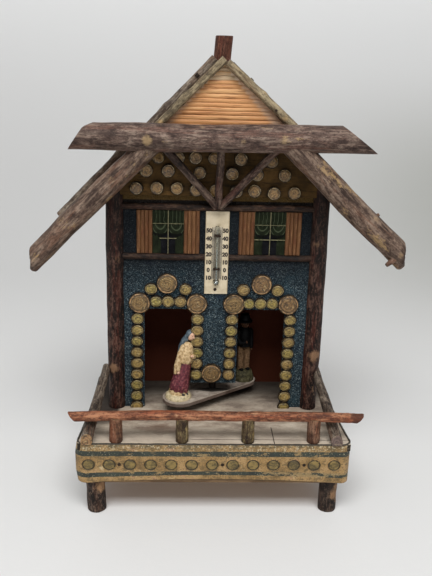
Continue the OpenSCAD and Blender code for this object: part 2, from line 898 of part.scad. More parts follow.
module mercury() {
  color("#8a8d90") union() {
    translate([0, tube_y, bulb_z])
      cylinder(h = bulb_d / 2 + column_h, d = tube_bore_d - 2 * column_gap);
    translate([0, tube_y, bulb_z]) sphere(d = bulb_d - 2 * bulb_wall - 2 * column_gap);
  }
}

module tube_clips() {
  bend = tube_d / 2 + clip_d / 2 + fit;
  color("#3a3a38") for (h = [upper_clip_h, lower_clip_h])
    translate([0, tube_y, plate_bottom + h]) union() {
      rotate([0, 0, 180]) rotate_extrude(angle = 180) translate([bend, 0]) circle(d = clip_d);
      for (s = [-1, 1])
        translate([s * bend, 0, 0]) rotate([-90, 0, 0]) cylinder(h = tube_d / 2, d = clip_d);
    }
}

module tacks() {
  color("#5c5444") {
    at_band_tacks() tack(0, -half_d, 0);
    tack(0, -plate_t, plate_bottom + plate_tack_h);
  }
}

// Chimney that turns the gut
module chimney() {
  low = seat_z + seat_gap;
  color("#5a2d22") difference() {
    translate([0, pivot_y, low]) cylinder(h = ridge_z + chimney_h - low, d = chimney_d);
    translate([0, pivot_y, low - past]) cylinder(h = spindle_tenon + past, d = spindle_d);
  }
}

module spindle() {
  color("#8a6d48") difference() {
    translate([0, pivot_y, spindle_bottom])
      cylinder(h = seat_z + seat_gap + spindle_tenon - spindle_bottom, d = spindle_d);
    translate([0, pivot_y, spindle_bottom - past])
      cylinder(h = gut_grip + 2 * past, d = gut_d + 2 * turn_gap);
  }
}

// Turntable
function table_outline() = let (lean = asin((woman_end_r - man_end_r) / (2 * arm_len))) concat(
  arc(-arm_len, 0, woman_end_r, 90 - lean, 270 + lean), arc(arm_len, 0, man_end_r, lean - 90, 90 - lean));

module turntable_board() {
  color("#6f5c4c") difference() {
    translate([0, pivot_y, table_under]) rotate([0, 0, rest_turn])
      linear_extrude(table_t) polygon(table_outline());
    translate([0, pivot_y, table_under - past]) cylinder(h = table_t + 2 * past, d = tenon_d);
  }
}

module stem() {
  color("#8a6d48") difference() {
    union() {
      translate([0, pivot_y, table_top]) cylinder(h = stem_h, d = stem_d);
      translate([0, pivot_y, table_under]) cylinder(h = table_t + past, d = tenon_d);
    }
    translate([0, pivot_y, stem_top - gut_grip - past])
      cylinder(h = gut_grip + 2 * past, d = gut_d + 2 * turn_gap);
  }
}

module gut() {
  low = stem_top - gut_grip;
  color("#b8a070") translate([0, pivot_y, low]) cylinder(h = spindle_bottom + gut_grip - low, d = gut_d);
}

// Figures
module ground(at, r) {
  translate(at) cylinder(h = ground_h, r1 = r, r2 = r - ground_h / 3);
}

// The figure's round body is turned to one outline, and its sleeves cross in front
module woman() {
  sole = sole_share * ground_h;
  hem_h = 1;
  hem_draw = 0.8;
  bust_draw = 0.4;
  bust_h = 3;
  collar_h = 2;
  collar_w = 1;
  neck_r = scarf_d / 4;
  elbow_h = (woman_waist_h + woman_shoulder_h) / 2;
  elbow_in = 1.6;
  wrist_in = 0.6;
  wrist_y = wrist_in - shawl_r;
  head_h = woman_shoulder_h + 0.62 * scarf_d;
  drape_h = 0.6 * scarf_d;
  drape_draw = 1.4;
  color("#8b7c6a") union() {
    ground(woman_at, woman_ground_r);
    translate(woman_at + [0, 0, ground_h]) rotate([lean_front, lean_side, 0]) {
      rotate_extrude() polygon([[0, -sole], [skirt_r, -sole], [skirt_r, hem_h],
        [skirt_r - hem_draw, woman_waist_h / 2], [woman_waist_r, woman_waist_h],
        [shawl_r, elbow_h - hem_h], [shawl_r - bust_draw, elbow_h + bust_h],
        [neck_r + collar_w, woman_shoulder_h], [neck_r, woman_shoulder_h + collar_h],
        [0, woman_shoulder_h + collar_h]]);
      translate([0, 0, head_h]) sphere(d = scarf_d);
      translate([0, 0, woman_shoulder_h - bust_h])
        cylinder(h = drape_h, r1 = shawl_r - drape_draw, r2 = scarf_d / 3);
      rod([-shawl_r + elbow_in, -elbow_in, elbow_h], [2, wrist_y, elbow_h - 2], sleeve_d);
      rod([shawl_r - elbow_in, -elbow_in, elbow_h], [-1, wrist_y, elbow_h + wrist_in], sleeve_d);
    }
  }
}

// The figure stands on two legs in a flared jacket, with its arms at its sides and a round hat
module man() {
  sole = sole_share * ground_h;
  stance = 0.95 * leg_r;
  skirt_drop = 4;
  skirt_h = 7;
  waist_draw = 1;
  chest_draw = 0.6;
  chest_h = man_shoulder_h - leg_h;
  collar_h = 2.4;
  neck_r = man_head_d / 4;
  head_h = man_shoulder_h + 0.6 * man_head_d;
  brim_h = head_h + man_head_d / 4;
  brim_t = 1.2;
  crown_draw = 0.8;
  color("#3d352e") union() {
    ground(man_at, man_ground_r);
    translate(man_at + [0, 0, ground_h]) {
      for (s = [-1, 1]) translate([s * stance, 0, -sole]) cylinder(h = leg_h + sole, r = leg_r);
      translate([0, 0, leg_h - skirt_drop]) rotate_extrude() polygon([[0, 0], [jacket_r, 0],
        [jacket_r - waist_draw, skirt_h], [jacket_r - chest_draw, chest_h],
        [neck_r + chest_draw, chest_h + skirt_drop], [neck_r, chest_h + skirt_drop + collar_h],
        [0, chest_h + skirt_drop + collar_h]]);
      for (s = [-1, 1])
        rod([s * (jacket_r - 0.8), 0, man_shoulder_h - 1], [s * (jacket_r - 0.2), -1.5, leg_h - 1], arm_d);
      translate([0, 0, head_h]) sphere(d = man_head_d);
      translate([0, 0, brim_h]) cylinder(h = brim_t, r = brim_r);
      translate([0, 0, brim_h])
        cylinder(h = hat_h, r1 = man_head_d / 2, r2 = man_head_d / 2 - crown_draw);
    }
  }
}

floor_board();
edge_band();
front_apron();
rear_apron();
left_apron();
right_apron();
front_feet();
rear_feet();
balusters();
front_rail();
left_side_rail();
right_side_rail();
left_front_post();
right_front_post();
left_rear_post();
right_rear_post();
front_wall();
left_wall();
right_wall();
rear_wall();
attic_floor();
upper_moulding();
left_lower_moulding();
right_lower_moulding();
left_window();
right_window();
window_bars();
left_shutters();
right_shutters();
left_door_slices();
right_door_slices();
large_slices();
gable_panel();
gable_slices();
king_strut();
left_strut();
right_strut();
tie_log();
left_barge_log();
right_barge_log();
left_gable_twig();
right_gable_twig();
attic_panel();
attic_reeds();
left_roof_board();
right_roof_board();
verge_twigs();
ridge_beam();
scale_plate();
glass_tube();
mercury();
tube_clips();
tacks();
chimney();
spindle();
turntable_board();
stem();
gut();
woman();
man();
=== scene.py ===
import math
import random

import bmesh
import bpy
from mathutils import Matrix, Vector, noise


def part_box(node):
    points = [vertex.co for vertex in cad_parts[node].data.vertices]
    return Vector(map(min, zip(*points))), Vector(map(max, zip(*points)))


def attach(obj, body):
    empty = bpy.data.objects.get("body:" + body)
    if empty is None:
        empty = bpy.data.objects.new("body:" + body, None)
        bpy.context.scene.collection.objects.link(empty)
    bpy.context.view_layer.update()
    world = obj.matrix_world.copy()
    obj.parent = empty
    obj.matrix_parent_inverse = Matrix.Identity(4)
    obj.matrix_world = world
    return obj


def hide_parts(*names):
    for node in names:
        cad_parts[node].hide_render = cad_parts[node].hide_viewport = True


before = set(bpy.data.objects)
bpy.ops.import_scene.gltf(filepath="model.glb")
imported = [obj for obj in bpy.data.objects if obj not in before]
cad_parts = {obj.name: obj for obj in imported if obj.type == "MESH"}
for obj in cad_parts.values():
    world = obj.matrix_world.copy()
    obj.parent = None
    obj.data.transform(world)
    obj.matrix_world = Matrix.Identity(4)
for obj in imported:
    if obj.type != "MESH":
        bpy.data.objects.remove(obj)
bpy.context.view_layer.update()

mm = 0.001

# The room round the house
# A sweep of pale paper lies under the house and rises behind it. One broad soft lamp hangs above
# the front, and the camera stands about as high as the ridge, tilted down at the doors.
photo_height_px = 576
focal_px = 750
camera_place = Vector((-24, -504, 307)) * mm
camera_pitch = math.radians(17.5)
camera_yaw = math.radians(2.75)
camera_roll = math.radians(1.65)
paper_colour = "#e0e0df"
paper_half = 2.2
paper_back = 1.2
paper_rise = 2.4
paper_bend = 0.7
lamp_place = Vector((-0.04, -0.8, 1.26))
lamp_aim = Vector((0, -0.02, 0.12))
lamp_size = (1.1, 0.55)
lamp_watts = 19.0
room_light = 0.36
backdrop_shade_reach = ((0.0, 0.6), (0.1, 0.7), (0.3, 0.05))
bounce_reach = ((105 * mm, 70 * mm), (68 * mm, 36 * mm))
wall_rise = (0.02, 0.9)
wall_glow = 0.46
painted_bounce_glow = 0.09


def paint(code):
    """Turn a colour code as the eye sees it into the linear values that shaders take."""
    parts = [int(code[at:at + 2], 16) / 255 for at in (1, 3, 5)]
    return (*(p / 12.92 if p <= 0.04045 else ((p + 0.055) / 1.055) ** 2.4 for p in parts), 1.0)


class Finish:
    """A surface finish, with its colour, roughness and relief worked out by nodes."""

    def __init__(self, name, roughness, **fixed):
        self.material = bpy.data.materials.new(name)
        self.material.use_nodes = True
        self.tree = self.material.node_tree
        self.shader = self.tree.nodes["Principled BSDF"]
        self.normal = None
        self.set(Roughness=roughness, **fixed)

    def feed(self, socket, value):
        """Give a socket another node's output, or a number, or a colour code."""
        if isinstance(value, bpy.types.NodeSocket):
            self.tree.links.new(value, socket)
        else:
            socket.default_value = paint(value) if isinstance(value, str) else value

    def set(self, **sockets):
        """Feed the shader's sockets, named with _ for spaces."""
        for name, value in sockets.items():
            self.feed(self.shader.inputs[name.replace("_", " ")], value)

    def add(self, kind, inputs, **settings):
        """Add a node with these settings, and feed its inputs."""
        made = self.tree.nodes.new("ShaderNode" + kind)
        for name, value in settings.items():
            setattr(made, name, value)
        for key, value in inputs.items():
            self.feed(made.inputs[key], value)
        return made

    def place(self, stretch=(1, 1, 1), grain=False):
        """The place on the piece in metres, or along its own grain, with each axis stretched."""
        if grain:
            spot = self.add("Attribute", {}, attribute_name="grain").outputs["Vector"]
        else:
            spot = self.add("TexCoord", {}).outputs["Object"]
        return self.add("VectorMath", {0: spot, 1: stretch}, operation="MULTIPLY").outputs[0]

    def axis(self, spot, name):
        """One axis of a place."""
        return self.add("SeparateXYZ", {0: spot}).outputs[name]

    def value(self, name):
        """A number that the mesh holds at each point."""
        return self.add("Attribute", {}, attribute_name=name).outputs["Fac"]

    def clouds(self, spot, size, detail=5, rough=0.6):
        """Cloudy variation from 0 to 1, with patches of about this size in metres."""
        inputs = {"Vector": spot, "Scale": 1 / size, "Detail": detail, "Roughness": rough}
        return self.add("TexNoise", inputs).outputs[0]

    def grains(self, spot, size, output="Color", feature="F1"):
        """Grains of about this size: a colour for each, or the distance within it."""
        inputs = {"Vector": spot, "Scale": 1 / size}
        return self.add("TexVoronoi", inputs, feature=feature).outputs[output]

    def sums(self, operation, a, b=0.0):
        """Arithmetic on two numbers."""
        return self.add("Math", {0: a, 1: b}, operation=operation).outputs[0]

    def times(self, a, b):
        """One number times another."""
        return self.sums("MULTIPLY", a, b)

    def plus(self, a, b):
        """One number and another."""
        return self.sums("ADD", a, b)

    def minus(self, a, b):
        """One number less another."""
        return self.sums("SUBTRACT", a, b)

    def size_of(self, a):
        """A number without its sign."""
        return self.sums("ABSOLUTE", a)

    def mask(self, value, none, full):
        """0 where a value is at none, 1 where it is at full, smooth between them."""
        inputs = {"Value": value, "From Min": none, "From Max": full}
        return self.add("MapRange", inputs, interpolation_type="SMOOTHSTEP").outputs[0]

    def ramp(self, value, *stops):
        """Colours along a value from 0 to 1, each stop a value and a colour code."""
        made = self.add("ValToRGB", {0: value})
        ends = made.color_ramp.elements
        for end, (at, code) in zip(ends, (stops[0], stops[-1])):
            end.position = at
            end.color = paint(code)
        for at, code in stops[1:-1]:
            ends.new(at).color = paint(code)
        return made.outputs[0]

    def mix(self, under, over, amount, blend="MIX"):
        """Lay one colour over another."""
        inputs = {0: amount, 6: under, 7: over}
        return self.add("Mix", inputs, data_type="RGBA", blend_type=blend).outputs[2]

    def tint(self, under, over, value, none, full, amount=None):
        """Lay one colour over another where a value goes from none to full, wholly or by an amount."""
        shown = self.mask(value, none, full)
        return self.mix(under, over, shown if amount is None else self.times(shown, amount))

    def relief(self, height, depth):
        """Raise the surface by a height from 0 to 1, to this depth in metres."""
        inputs = {"Height": height, "Distance": depth}
        if self.normal:
            inputs["Normal"] = self.normal
        self.normal = self.add("Bump", inputs).outputs[0]
        self.set(Normal=self.normal)


def add_object(name, mesh, *finishes):
    """Put a finished mesh in the scene at the origin."""
    piece = bpy.data.objects.new(name, mesh)
    bpy.context.scene.collection.objects.link(piece)
    for finish in finishes:
        mesh.materials.append(finish.material)
    return piece


paper = Finish("pale_paper", 0.9)
spot = paper.place()
paper_x, paper_y, paper_z = (paper.axis(spot, way) for way in "XYZ")
# The paper is painted darker far to the right: painted shade on the backdrop.
far_x, far_y, far_z = (
    paper.mask(way, *reach) for way, reach in zip((paper_x, paper_y, paper_z), backdrop_shade_reach))
far_right_shade = paper.times(paper.times(far_x, far_y), far_z)
# A warm glow, seen only by camera rays, is painted on the paper under the platform: painted bounce light
# that lifts the shadow there.
bounce_x, bounce_y = (
    paper.mask(paper.size_of(way), *reach) for way, reach in zip((paper_x, paper_y), bounce_reach))
under = paper.times(bounce_x, bounce_y)
wall = paper.mask(paper_z, *wall_rise)
glow = paper.plus(paper.times(wall, wall_glow), paper.times(under, painted_bounce_glow))
rays = paper.add("LightPath", {}).outputs
mirrored = paper.sums("MAXIMUM", rays["Is Glossy Ray"], rays["Is Transmission Ray"])
seen = paper.sums("MAXIMUM", rays["Is Camera Ray"], mirrored)
paper.set(
    Base_Color=paper.mix(paper_colour, "#bcbdb7", far_right_shade),
    Emission_Color=paper.mix("#f6f8fa", "#d9a67c", under),
    Emission_Strength=paper.times(glow, seen))
paper.relief(paper.clouds(paper.place(), 3 * mm), 0.1 * mm)
sweep = bmesh.new()
bmesh.ops.create_grid(sweep, x_segments=1, y_segments=1, size=paper_half)
bmesh.ops.translate(sweep, vec=(0, paper_back - paper_half, 0), verts=sweep.verts)
fold = max(sweep.edges, key=lambda edge: edge.verts[0].co.y + edge.verts[1].co.y)
raised = bmesh.ops.extrude_edge_only(sweep, edges=[fold])["geom"]
raised = [part for part in raised if isinstance(part, bmesh.types.BMVert)]
bmesh.ops.translate(sweep, vec=(0, 0, paper_rise), verts=raised)
bmesh.ops.bevel(
    sweep, geom=[fold], offset=paper_bend, affect="EDGES", segments=24, profile=0.5, material=-1)
sweep_mesh = bpy.data.meshes.new("paper_sweep")
sweep.to_mesh(sweep_mesh)
sweep.free()
sweep_mesh.shade_smooth()
add_object("paper_sweep", sweep_mesh, paper)

camera_lens = bpy.data.cameras.new("camera")
camera_lens.lens = camera_lens.sensor_width * focal_px / photo_height_px
camera = bpy.data.objects.new("camera", camera_lens)
tilt = Matrix.Rotation(math.pi / 2 - camera_pitch, 4, "X") @ Matrix.Rotation(camera_roll, 4, "Z")
camera.matrix_world = Matrix.Translation(camera_place) @ Matrix.Rotation(-camera_yaw, 4, "Z") @ tilt
bpy.context.scene.collection.objects.link(camera)
bpy.context.scene.camera = camera

lamp_light = bpy.data.lights.new("soft_lamp", "AREA")
lamp_light.shape = "RECTANGLE"
lamp_light.size, lamp_light.size_y = lamp_size
lamp_light.energy = lamp_watts
lamp = bpy.data.objects.new("soft_lamp", lamp_light)
lamp_turn = (lamp_aim - lamp_place).to_track_quat("-Z", "Y").to_matrix().to_4x4()
lamp.matrix_world = Matrix.Translation(lamp_place) @ lamp_turn
bpy.context.scene.collection.objects.link(lamp)

room = bpy.data.worlds.new("room")
room.use_nodes = True
bpy.context.scene.world = room
bpy.context.scene.view_settings.view_transform = "Standard"
room_nodes = room.node_tree.nodes
room_links = room.node_tree.links
room_glow = room_nodes["Background"]
room_glow.inputs["Color"].default_value = paint("#ffffff")
room_glow.inputs["Strength"].default_value = room_light
room_seen = room_nodes.new("ShaderNodeBackground")
room_seen.inputs["Color"].default_value = paint(paper_colour)
room_rays = room_nodes.new("ShaderNodeLightPath")
seen_rays = room_rays.outputs["Is Camera Ray"]
for ray in ("Is Glossy Ray", "Is Transmission Ray"):
    either = room_nodes.new("ShaderNodeMath")
    either.operation = "MAXIMUM"
    room_links.new(seen_rays, either.inputs[0])
    room_links.new(room_rays.outputs[ray], either.inputs[1])
    seen_rays = either.outputs[0]
room_mix = room_nodes.new("ShaderNodeMixShader")
room_links.new(seen_rays, room_mix.inputs[0])
room_links.new(room_glow.outputs[0], room_mix.inputs[1])
room_links.new(room_seen.outputs[0], room_mix.inputs[2])
room_links.new(room_mix.outputs[0], room_nodes["World Output"].inputs["Surface"])

# Feet
# Four short lengths of twig with the bark left on stand under the platform's corners. They are
# nailed up inside the apron boards, and their sawn ends rest on the table.
foot_bark = ("#100b09", "#37281f", "#6d594c", "#b98f68", "#4c3327")
foot_scar_z = {-1: 20 * mm, 1: 14 * mm}
foot_in = 1.9 * mm
foot_share = {-1: 1.04, 1: 0.97}
foot_tone = {-1: 0.5, 1: 0.7}
foot_lean = {-1: -1.2 * mm, 1: 0.0}


def bark(name, dark, mid, light, bare, warm, bare_from=0.6, streak=0.5, depth=0.5 * mm, fleck=0.35):
    """Bark along a stick: mottled tones, warm streaks, fissures, rubbed patches, flecks and knots."""
    finish = Finish(name, 0.6, Specular_IOR_Level=0.2)
    around = finish.place((1, 1, 0.5), grain=True)
    tones = finish.clouds(around, 5 * mm, 8, 0.74)
    fibres = finish.clouds(finish.place((1, 1, 0.08), grain=True), 1.7 * mm, 6, 0.66)
    streaks = finish.clouds(finish.place((1, 1, 0.13), grain=True), 5 * mm, 6, 0.66)
    specks = finish.clouds(around, 1.3 * mm, 5, 0.7)
    colour = finish.ramp(tones, (0.39, dark), (0.5, mid), (0.61, light))
    colour = finish.tint(colour, warm, streaks, 0.51, 0.6, 0.6)
    colour = finish.tint(colour, dark, streaks, 0.46, 0.38, 0.5)
    rubbed = finish.mask(finish.clouds(around, 11 * mm, 8, 0.76), bare_from, bare_from + 0.04)
    colour = finish.mix(colour, bare, finish.times(rubbed, 0.85))
    colour = finish.tint(colour, light, fibres, 0.56, 0.62, streak)
    fissure = finish.size_of(finish.minus(fibres, 0.48))
    colour = finish.tint(colour, dark, fissure, 0.03, 0.01, streak * 1.4)
    colour = finish.tint(colour, dark, specks, 0.46, 0.4, 0.45 + 0.5 * fleck)
    colour = finish.tint(colour, light, specks, 0.56, 0.62, fleck)
    shown = finish.value("knot")
    ragged = finish.times(finish.minus(finish.clouds(around, 2.5 * mm, 6, 0.75), 0.5), 2.2)
    knot = finish.plus(shown, finish.times(ragged, shown))
    colour = finish.tint(colour, bare, knot, 0.3, 0.6, 0.7)
    colour = finish.tint(colour, dark, knot, 0.74, 0.9, 0.9)
    # The tone value darkens the bark as soot and dirt, and on the corner posts, darker towards their tops,
    # as painted shade under the roof.
    soot_and_shade = finish.mask(finish.value("tone"), 0.5, 1.0)
    finish.set(Base_Color=finish.mix(colour, dark, finish.times(soot_and_shade, 0.8)))
    finish.relief(tones, depth * 1.5)
    finish.relief(fibres, depth)
    finish.relief(specks, depth * 0.8)
    return finish


def end_grain(name, pale, deep, ripe, gloss=0.0, rough=0.3, pale_rim_and_highlight="#a68d5e"):
    """Sawn end grain: rings round the pith, saw marks, one tone or another for each piece, and a pale
    rim with a dark ring inside it where the mesh marks one."""
    finish = Finish(name, 0.55, Coat_Weight=gloss, Coat_Roughness=rough)
    spot = finish.place(grain=True)
    marks = finish.clouds(spot, 2.2 * mm, 5, 0.62)
    scratches = finish.clouds(finish.place((1, 0.2, 1), grain=True), 0.8 * mm, 4, 0.6)
    inputs = {"Vector": spot, "Scale": 170, "Distortion": 7.0, "Detail": 3.0, "Detail Scale": 1.4}
    rings = finish.add("TexWave", inputs, wave_type="RINGS", rings_direction="Z").outputs["Fac"]
    colour = finish.mix(pale, ripe, finish.value("tone"))
    colour = finish.mix(colour, deep, finish.times(rings, 0.34))
    colour = finish.tint(colour, deep, marks, 0.5, 0.34, 0.8)
    colour = finish.tint(colour, deep, scratches, 0.46, 0.34, 0.5)
    colour = finish.tint(colour, "#e0cd96", scratches, 0.58, 0.7, 0.45)
    rim = finish.plus(finish.value("rim"), finish.times(finish.minus(marks, 0.5), 0.35))
    colour = finish.tint(colour, deep, rim, 0.62, 0.76, 0.65)
    around = finish.clouds(spot, 3.5 * mm, 4, 0.6)
    # Patches of the outer rim are pale: partly the wood's own pale rim and partly a painted highlight where
    # the edge catches the light.
    lit = finish.times(finish.mask(rim, 0.78, 0.86), finish.mask(around, 0.4, 0.56))
    colour = finish.mix(colour, pale_rim_and_highlight, finish.times(lit, 0.9))
    finish.set(Base_Color=colour)
    finish.relief(marks, 0.5 * mm)
    finish.relief(rings, 0.25 * mm)
    return finish


def stick(start, end, radius, seed, tone=0.5, tone_end=None, taper=0.0, lumps=0.06, bow=0.0, knots=(),
          sides=24, ring=2.0 * mm):
    """Grow a crooked round stick from start to end, swollen by lumps and knots, from one tone to
    another. A knot is its share of the length, the way it faces, its width, its height and how much
    it shows."""
    start, end = Vector(start), Vector(end)
    run = end - start
    twig = bmesh.new()
    bmesh.ops.create_cone(
        twig, cap_ends=True, segments=sides, radius1=radius, radius2=radius * (1 - taper), depth=run.length)
    for face in twig.faces:
        face.material_index = int(len(face.verts) > 4)
    rims = [edge for edge in twig.edges if edge.verts[0].co.z * edge.verts[1].co.z > 0]
    bmesh.ops.bevel(
        twig, geom=rims, offset=radius * 0.1, affect="EDGES", segments=2, profile=0.5, material=-1)
    sides_of = [edge for edge in twig.edges if edge.verts[0].co.z * edge.verts[1].co.z < 0]
    bmesh.ops.subdivide_edges(
        twig, edges=sides_of, cuts=max(2, round(run.length / ring)), use_grid_fill=True)
    turn = run.to_track_quat("Z", "X").to_matrix()
    spots = []
    for share, facing, width, height, shown in knots:
        side = turn.inverted() @ Vector(facing)
        side.z = 0
        centre = side.normalized() * radius + Vector((0, 0, (share - 0.5) * run.length))
        spots.append((centre, width, height, shown))
    grain = twig.verts.layers.float_vector.new("grain")
    tones = twig.verts.layers.float.new("tone")
    knotty = twig.verts.layers.float.new("knot")
    for vert in twig.verts:
        spot = vert.co.copy()
        vert[grain] = spot + Vector((0, 0, seed * 0.731))
        share = spot.z / run.length + 0.5
        vert[tones] = tone if tone_end is None else tone + (tone_end - tone) * share
        seen = Vector((spot.x, spot.y, spot.z * 0.35 + seed * 3.7 * mm)) / radius
        broad = noise.noise(seen * 0.6 + Vector((seed, 0, 0)))
        swell = 1 + lumps * (broad + 0.45 * noise.noise(seen * 2.1))
        for centre, width, height, shown in spots:
            near = math.exp(-((spot - centre).length / width) ** 2)
            vert[knotty] = max(vert[knotty], near * shown)
            swell += height / radius * near
        sway = bow * math.sin(math.pi * share)
        vert.co.x = spot.x * swell + sway * noise.noise(Vector((seed, share * 2.3, 0.3)))
        vert.co.y = spot.y * swell + sway * noise.noise(Vector((seed, share * 2.3, 7.7)))
    twig.transform(Matrix.Translation((start + end) / 2) @ turn.to_4x4())
    return twig


def saw(form, spot, facing, ease=0.0, along=(0, 0, 0)):
    """Saw off what lies past a plane, close the cut with a sawn face, and round its edge by ease
    on a stick that runs along the given way."""
    everything = form.verts[:] + form.edges[:] + form.faces[:]
    cut = bmesh.ops.bisect_plane(form, geom=everything, plane_co=spot, plane_no=facing, clear_outer=True)
    rim = [part for part in cut["geom_cut"] if isinstance(part, bmesh.types.BMEdge)]
    for face in bmesh.ops.edgeloop_fill(form, edges=rim)["faces"]:
        face.material_index = 1
    if ease:
        spot, facing, along = Vector(spot), Vector(facing).normalized(), Vector(along).normalized()
        for vert in form.verts:
            depth = (spot - vert.co).dot(facing) / abs(along.dot(facing))
            if depth < ease:
                axis = spot + along * (vert.co - spot).dot(along)
                lift = 1 - math.sqrt(max(0, 1 - (1 - depth / ease) ** 2))
                vert.co = vert.co.lerp(axis, 0.55 * lift)
    return form


def mount(name, parts, finishes, slot, *nodes, body="house", sharp=42):
    """Join parts into one piece that rides on its body and stands for these nodes."""
    whole = bmesh.new()
    for part in parts:
        loose = bpy.data.meshes.new(name)
        part.to_mesh(loose)
        part.free()
        whole.from_mesh(loose)
        bpy.data.meshes.remove(loose)
    mesh = bpy.data.meshes.new(name)
    whole.to_mesh(mesh)
    whole.free()
    mesh.shade_smooth()
    mesh.set_sharp_from_angle(angle=math.radians(sharp))
    piece = add_object(name, mesh, *finishes)
    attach(piece, body)
    if nodes:
        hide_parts(*nodes)
    return piece


grey_bark = bark("foot_bark", *foot_bark, bare_from=0.6, fleck=0.8)
sawn_end = end_grain("sawn_end", "#8a6f50", "#4a3727", "#6b5540")
for seed, node in enumerate(("front_feet", "rear_feet")):
    low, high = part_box(node)
    radius = (high.y - low.y) / 2
    legs = []
    for side in (-1, 1):
        at = Vector((side * (high.x - radius - foot_in), (low.y + high.y) / 2, 0))
        scar = foot_scar_z[side] / high.z
        knots = [
            (scar, (0.9, -1, 0), 6 * mm, -0.2 * mm, 0.7),
            (scar + 0.12, (1, -0.9, 0), 4 * mm, -0.1 * mm, 0.68)]
        top = at + Vector((0, 0, high.z))
        leg = stick(
            at, top, radius * foot_share[side], 3 + seed * 5 + side, foot_tone[side], lumps=0.1,
            knots=knots, ring=1.6 * mm)
        for vert in leg.verts:
            vert.co.x += foot_lean[side] * vert.co.z / high.z
        legs.append(leg)
    mount(node + "_twigs", legs, [grey_bark, sawn_end], "dark_bark", node)

# Platform floor and aprons
# The floor is a thin weathered board on four upright apron boards. Years of dust and hands have
# left it grey, with a dark blot at the left and two open joints near the front.
floor_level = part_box("floor_board")[1].z
front_joint_y = -49.4 * mm
front_joint_from = -19 * mm
butt_joint_x = 40.2 * mm
butt_joint_to = -31 * mm
joint_half = 0.35 * mm
platform_low, platform_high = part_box("edge_band")
side_draw = 0.047
side_draw_power = 2.5
blot_off = (36 * mm, 35 * mm)
blot_edge = (42 * mm, 33 * mm)
indoor_shade = (-4 * mm, 32 * mm)
front_paling = (-30 * mm, -46 * mm)
rail_post_shadow_reach = ((-67 * mm, -70 * mm), (-32 * mm, -20 * mm))
pale_lip = (-51.6 * mm, -52.8 * mm)
dark_lip = (-53.4 * mm, -54.2 * mm)
apron_inset = 1.6 * mm


def drawn_in(y):
    """The platform's width at a depth, as a share of its front. Most is lost close behind the front."""
    share = min(1, max(0, (platform_high.y - y) / (platform_high.y - platform_low.y)))
    return 1 - side_draw * (1 - share ** side_draw_power)


def board(low, high, edge, cuts=0):
    """A flat piece between two corners with eased edges, cut across its depth so that it can bend."""
    low, high = Vector(low), Vector(high)
    form = bmesh.new()
    place = Matrix.Translation((low + high) / 2) @ Matrix.Diagonal((*(high - low), 1))
    bmesh.ops.create_cube(form, size=1, matrix=place)
    bmesh.ops.bevel(
        form, geom=form.edges[:], offset=edge, affect="EDGES", segments=2, profile=0.5, material=-1)
    for k in range(cuts):
        everything = form.verts[:] + form.edges[:] + form.faces[:]
        at = low.lerp(high, (k + 1) / (cuts + 1))
        bmesh.ops.bisect_plane(form, geom=everything, plane_co=at, plane_no=(0, 1, 0))
    return form


def dress(finish, *nodes):
    """Give a finish to pieces whose shape is already right."""
    for node in nodes:
        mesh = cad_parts[node].data
        mesh.materials.clear()
        mesh.materials.append(finish.material)


def old_board(name, dark, mid, light, stain, grain=(0.07, 1, 1), stained=0.6, depth=0.25 * mm, fibre=0.6):
    """A weathered board: fibres along the grain, cloudy greys, dust and stains."""
    finish = Finish(name, 0.85, Specular_IOR_Level=0.25)
    fibres = finish.clouds(finish.place(grain), 1.1 * mm, 6, 0.65)
    dust = finish.clouds(finish.place(), 1.6 * mm, 5, 0.7)
    tones = finish.clouds(finish.place(tuple(0.25 + 0.75 * part for part in grain)), 12 * mm, 7, 0.7)
    colour = finish.ramp(tones, (0.36, dark), (0.5, mid), (0.64, light))
    spread = finish.clouds(finish.place(), 24 * mm, 7, 0.7)
    colour = finish.tint(colour, stain, spread, stained, stained + 0.08, 0.7)
    colour = finish.tint(colour, dark, fibres, 0.48, 0.34, fibre)
    colour = finish.tint(colour, light, fibres, 0.56, 0.72, fibre * 0.6)
    colour = finish.tint(colour, light, dust, 0.58, 0.72, 0.6)
    colour = finish.tint(colour, dark, dust, 0.4, 0.28, 0.5)
    finish.set(Base_Color=colour)
    finish.relief(fibres, depth)
    finish.relief(dust, depth)
    finish.colour = colour
    return finish


floor_finish = old_board(
    "grey_floor", "#7d6f62", "#a79887", "#c4b7a5", "#92725c", grain=(0.3, 1, 1), stained=0.62, fibre=0.35)
spot = floor_finish.place()
along_x, along_y = floor_finish.axis(spot, "X"), floor_finish.axis(spot, "Y")
wander = floor_finish.times(floor_finish.clouds(spot, 20 * mm), 1.2 * mm)


def joint_line(across, at):
    """A narrow dark line where a wandering coordinate passes a place."""
    off = floor_finish.minus(floor_finish.plus(across, wander), at + 0.6 * mm)
    return floor_finish.mask(floor_finish.size_of(off), joint_half, joint_half * 0.3)


front_part = floor_finish.mask(along_x, front_joint_from, front_joint_from + 4 * mm)
front_joint = floor_finish.times(joint_line(along_y, front_joint_y), front_part)
butt_part = floor_finish.mask(along_y, butt_joint_to, butt_joint_to - 2 * mm)
butt_joint = floor_finish.times(joint_line(along_x, butt_joint_x), butt_part)
joints = floor_finish.sums("MAXIMUM", front_joint, butt_joint)
# The floor is painted near-black inside the house: painted shade in the rooms.
colour = floor_finish.tint(floor_finish.colour, "#150e0a", along_y, *indoor_shade, 0.88)
blot_x, blot_y = (
    floor_finish.size_of(floor_finish.plus(way, off)) for way, off in zip((along_x, along_y), blot_off))
ragged = floor_finish.times(floor_finish.clouds(spot, 8 * mm, 6, 0.7), 40 * mm)
blot = floor_finish.plus(floor_finish.plus(blot_x, floor_finish.times(blot_y, 2.0)), ragged)
colour = floor_finish.tint(colour, "#5e3f2d", blot, *blot_edge, 0.5)
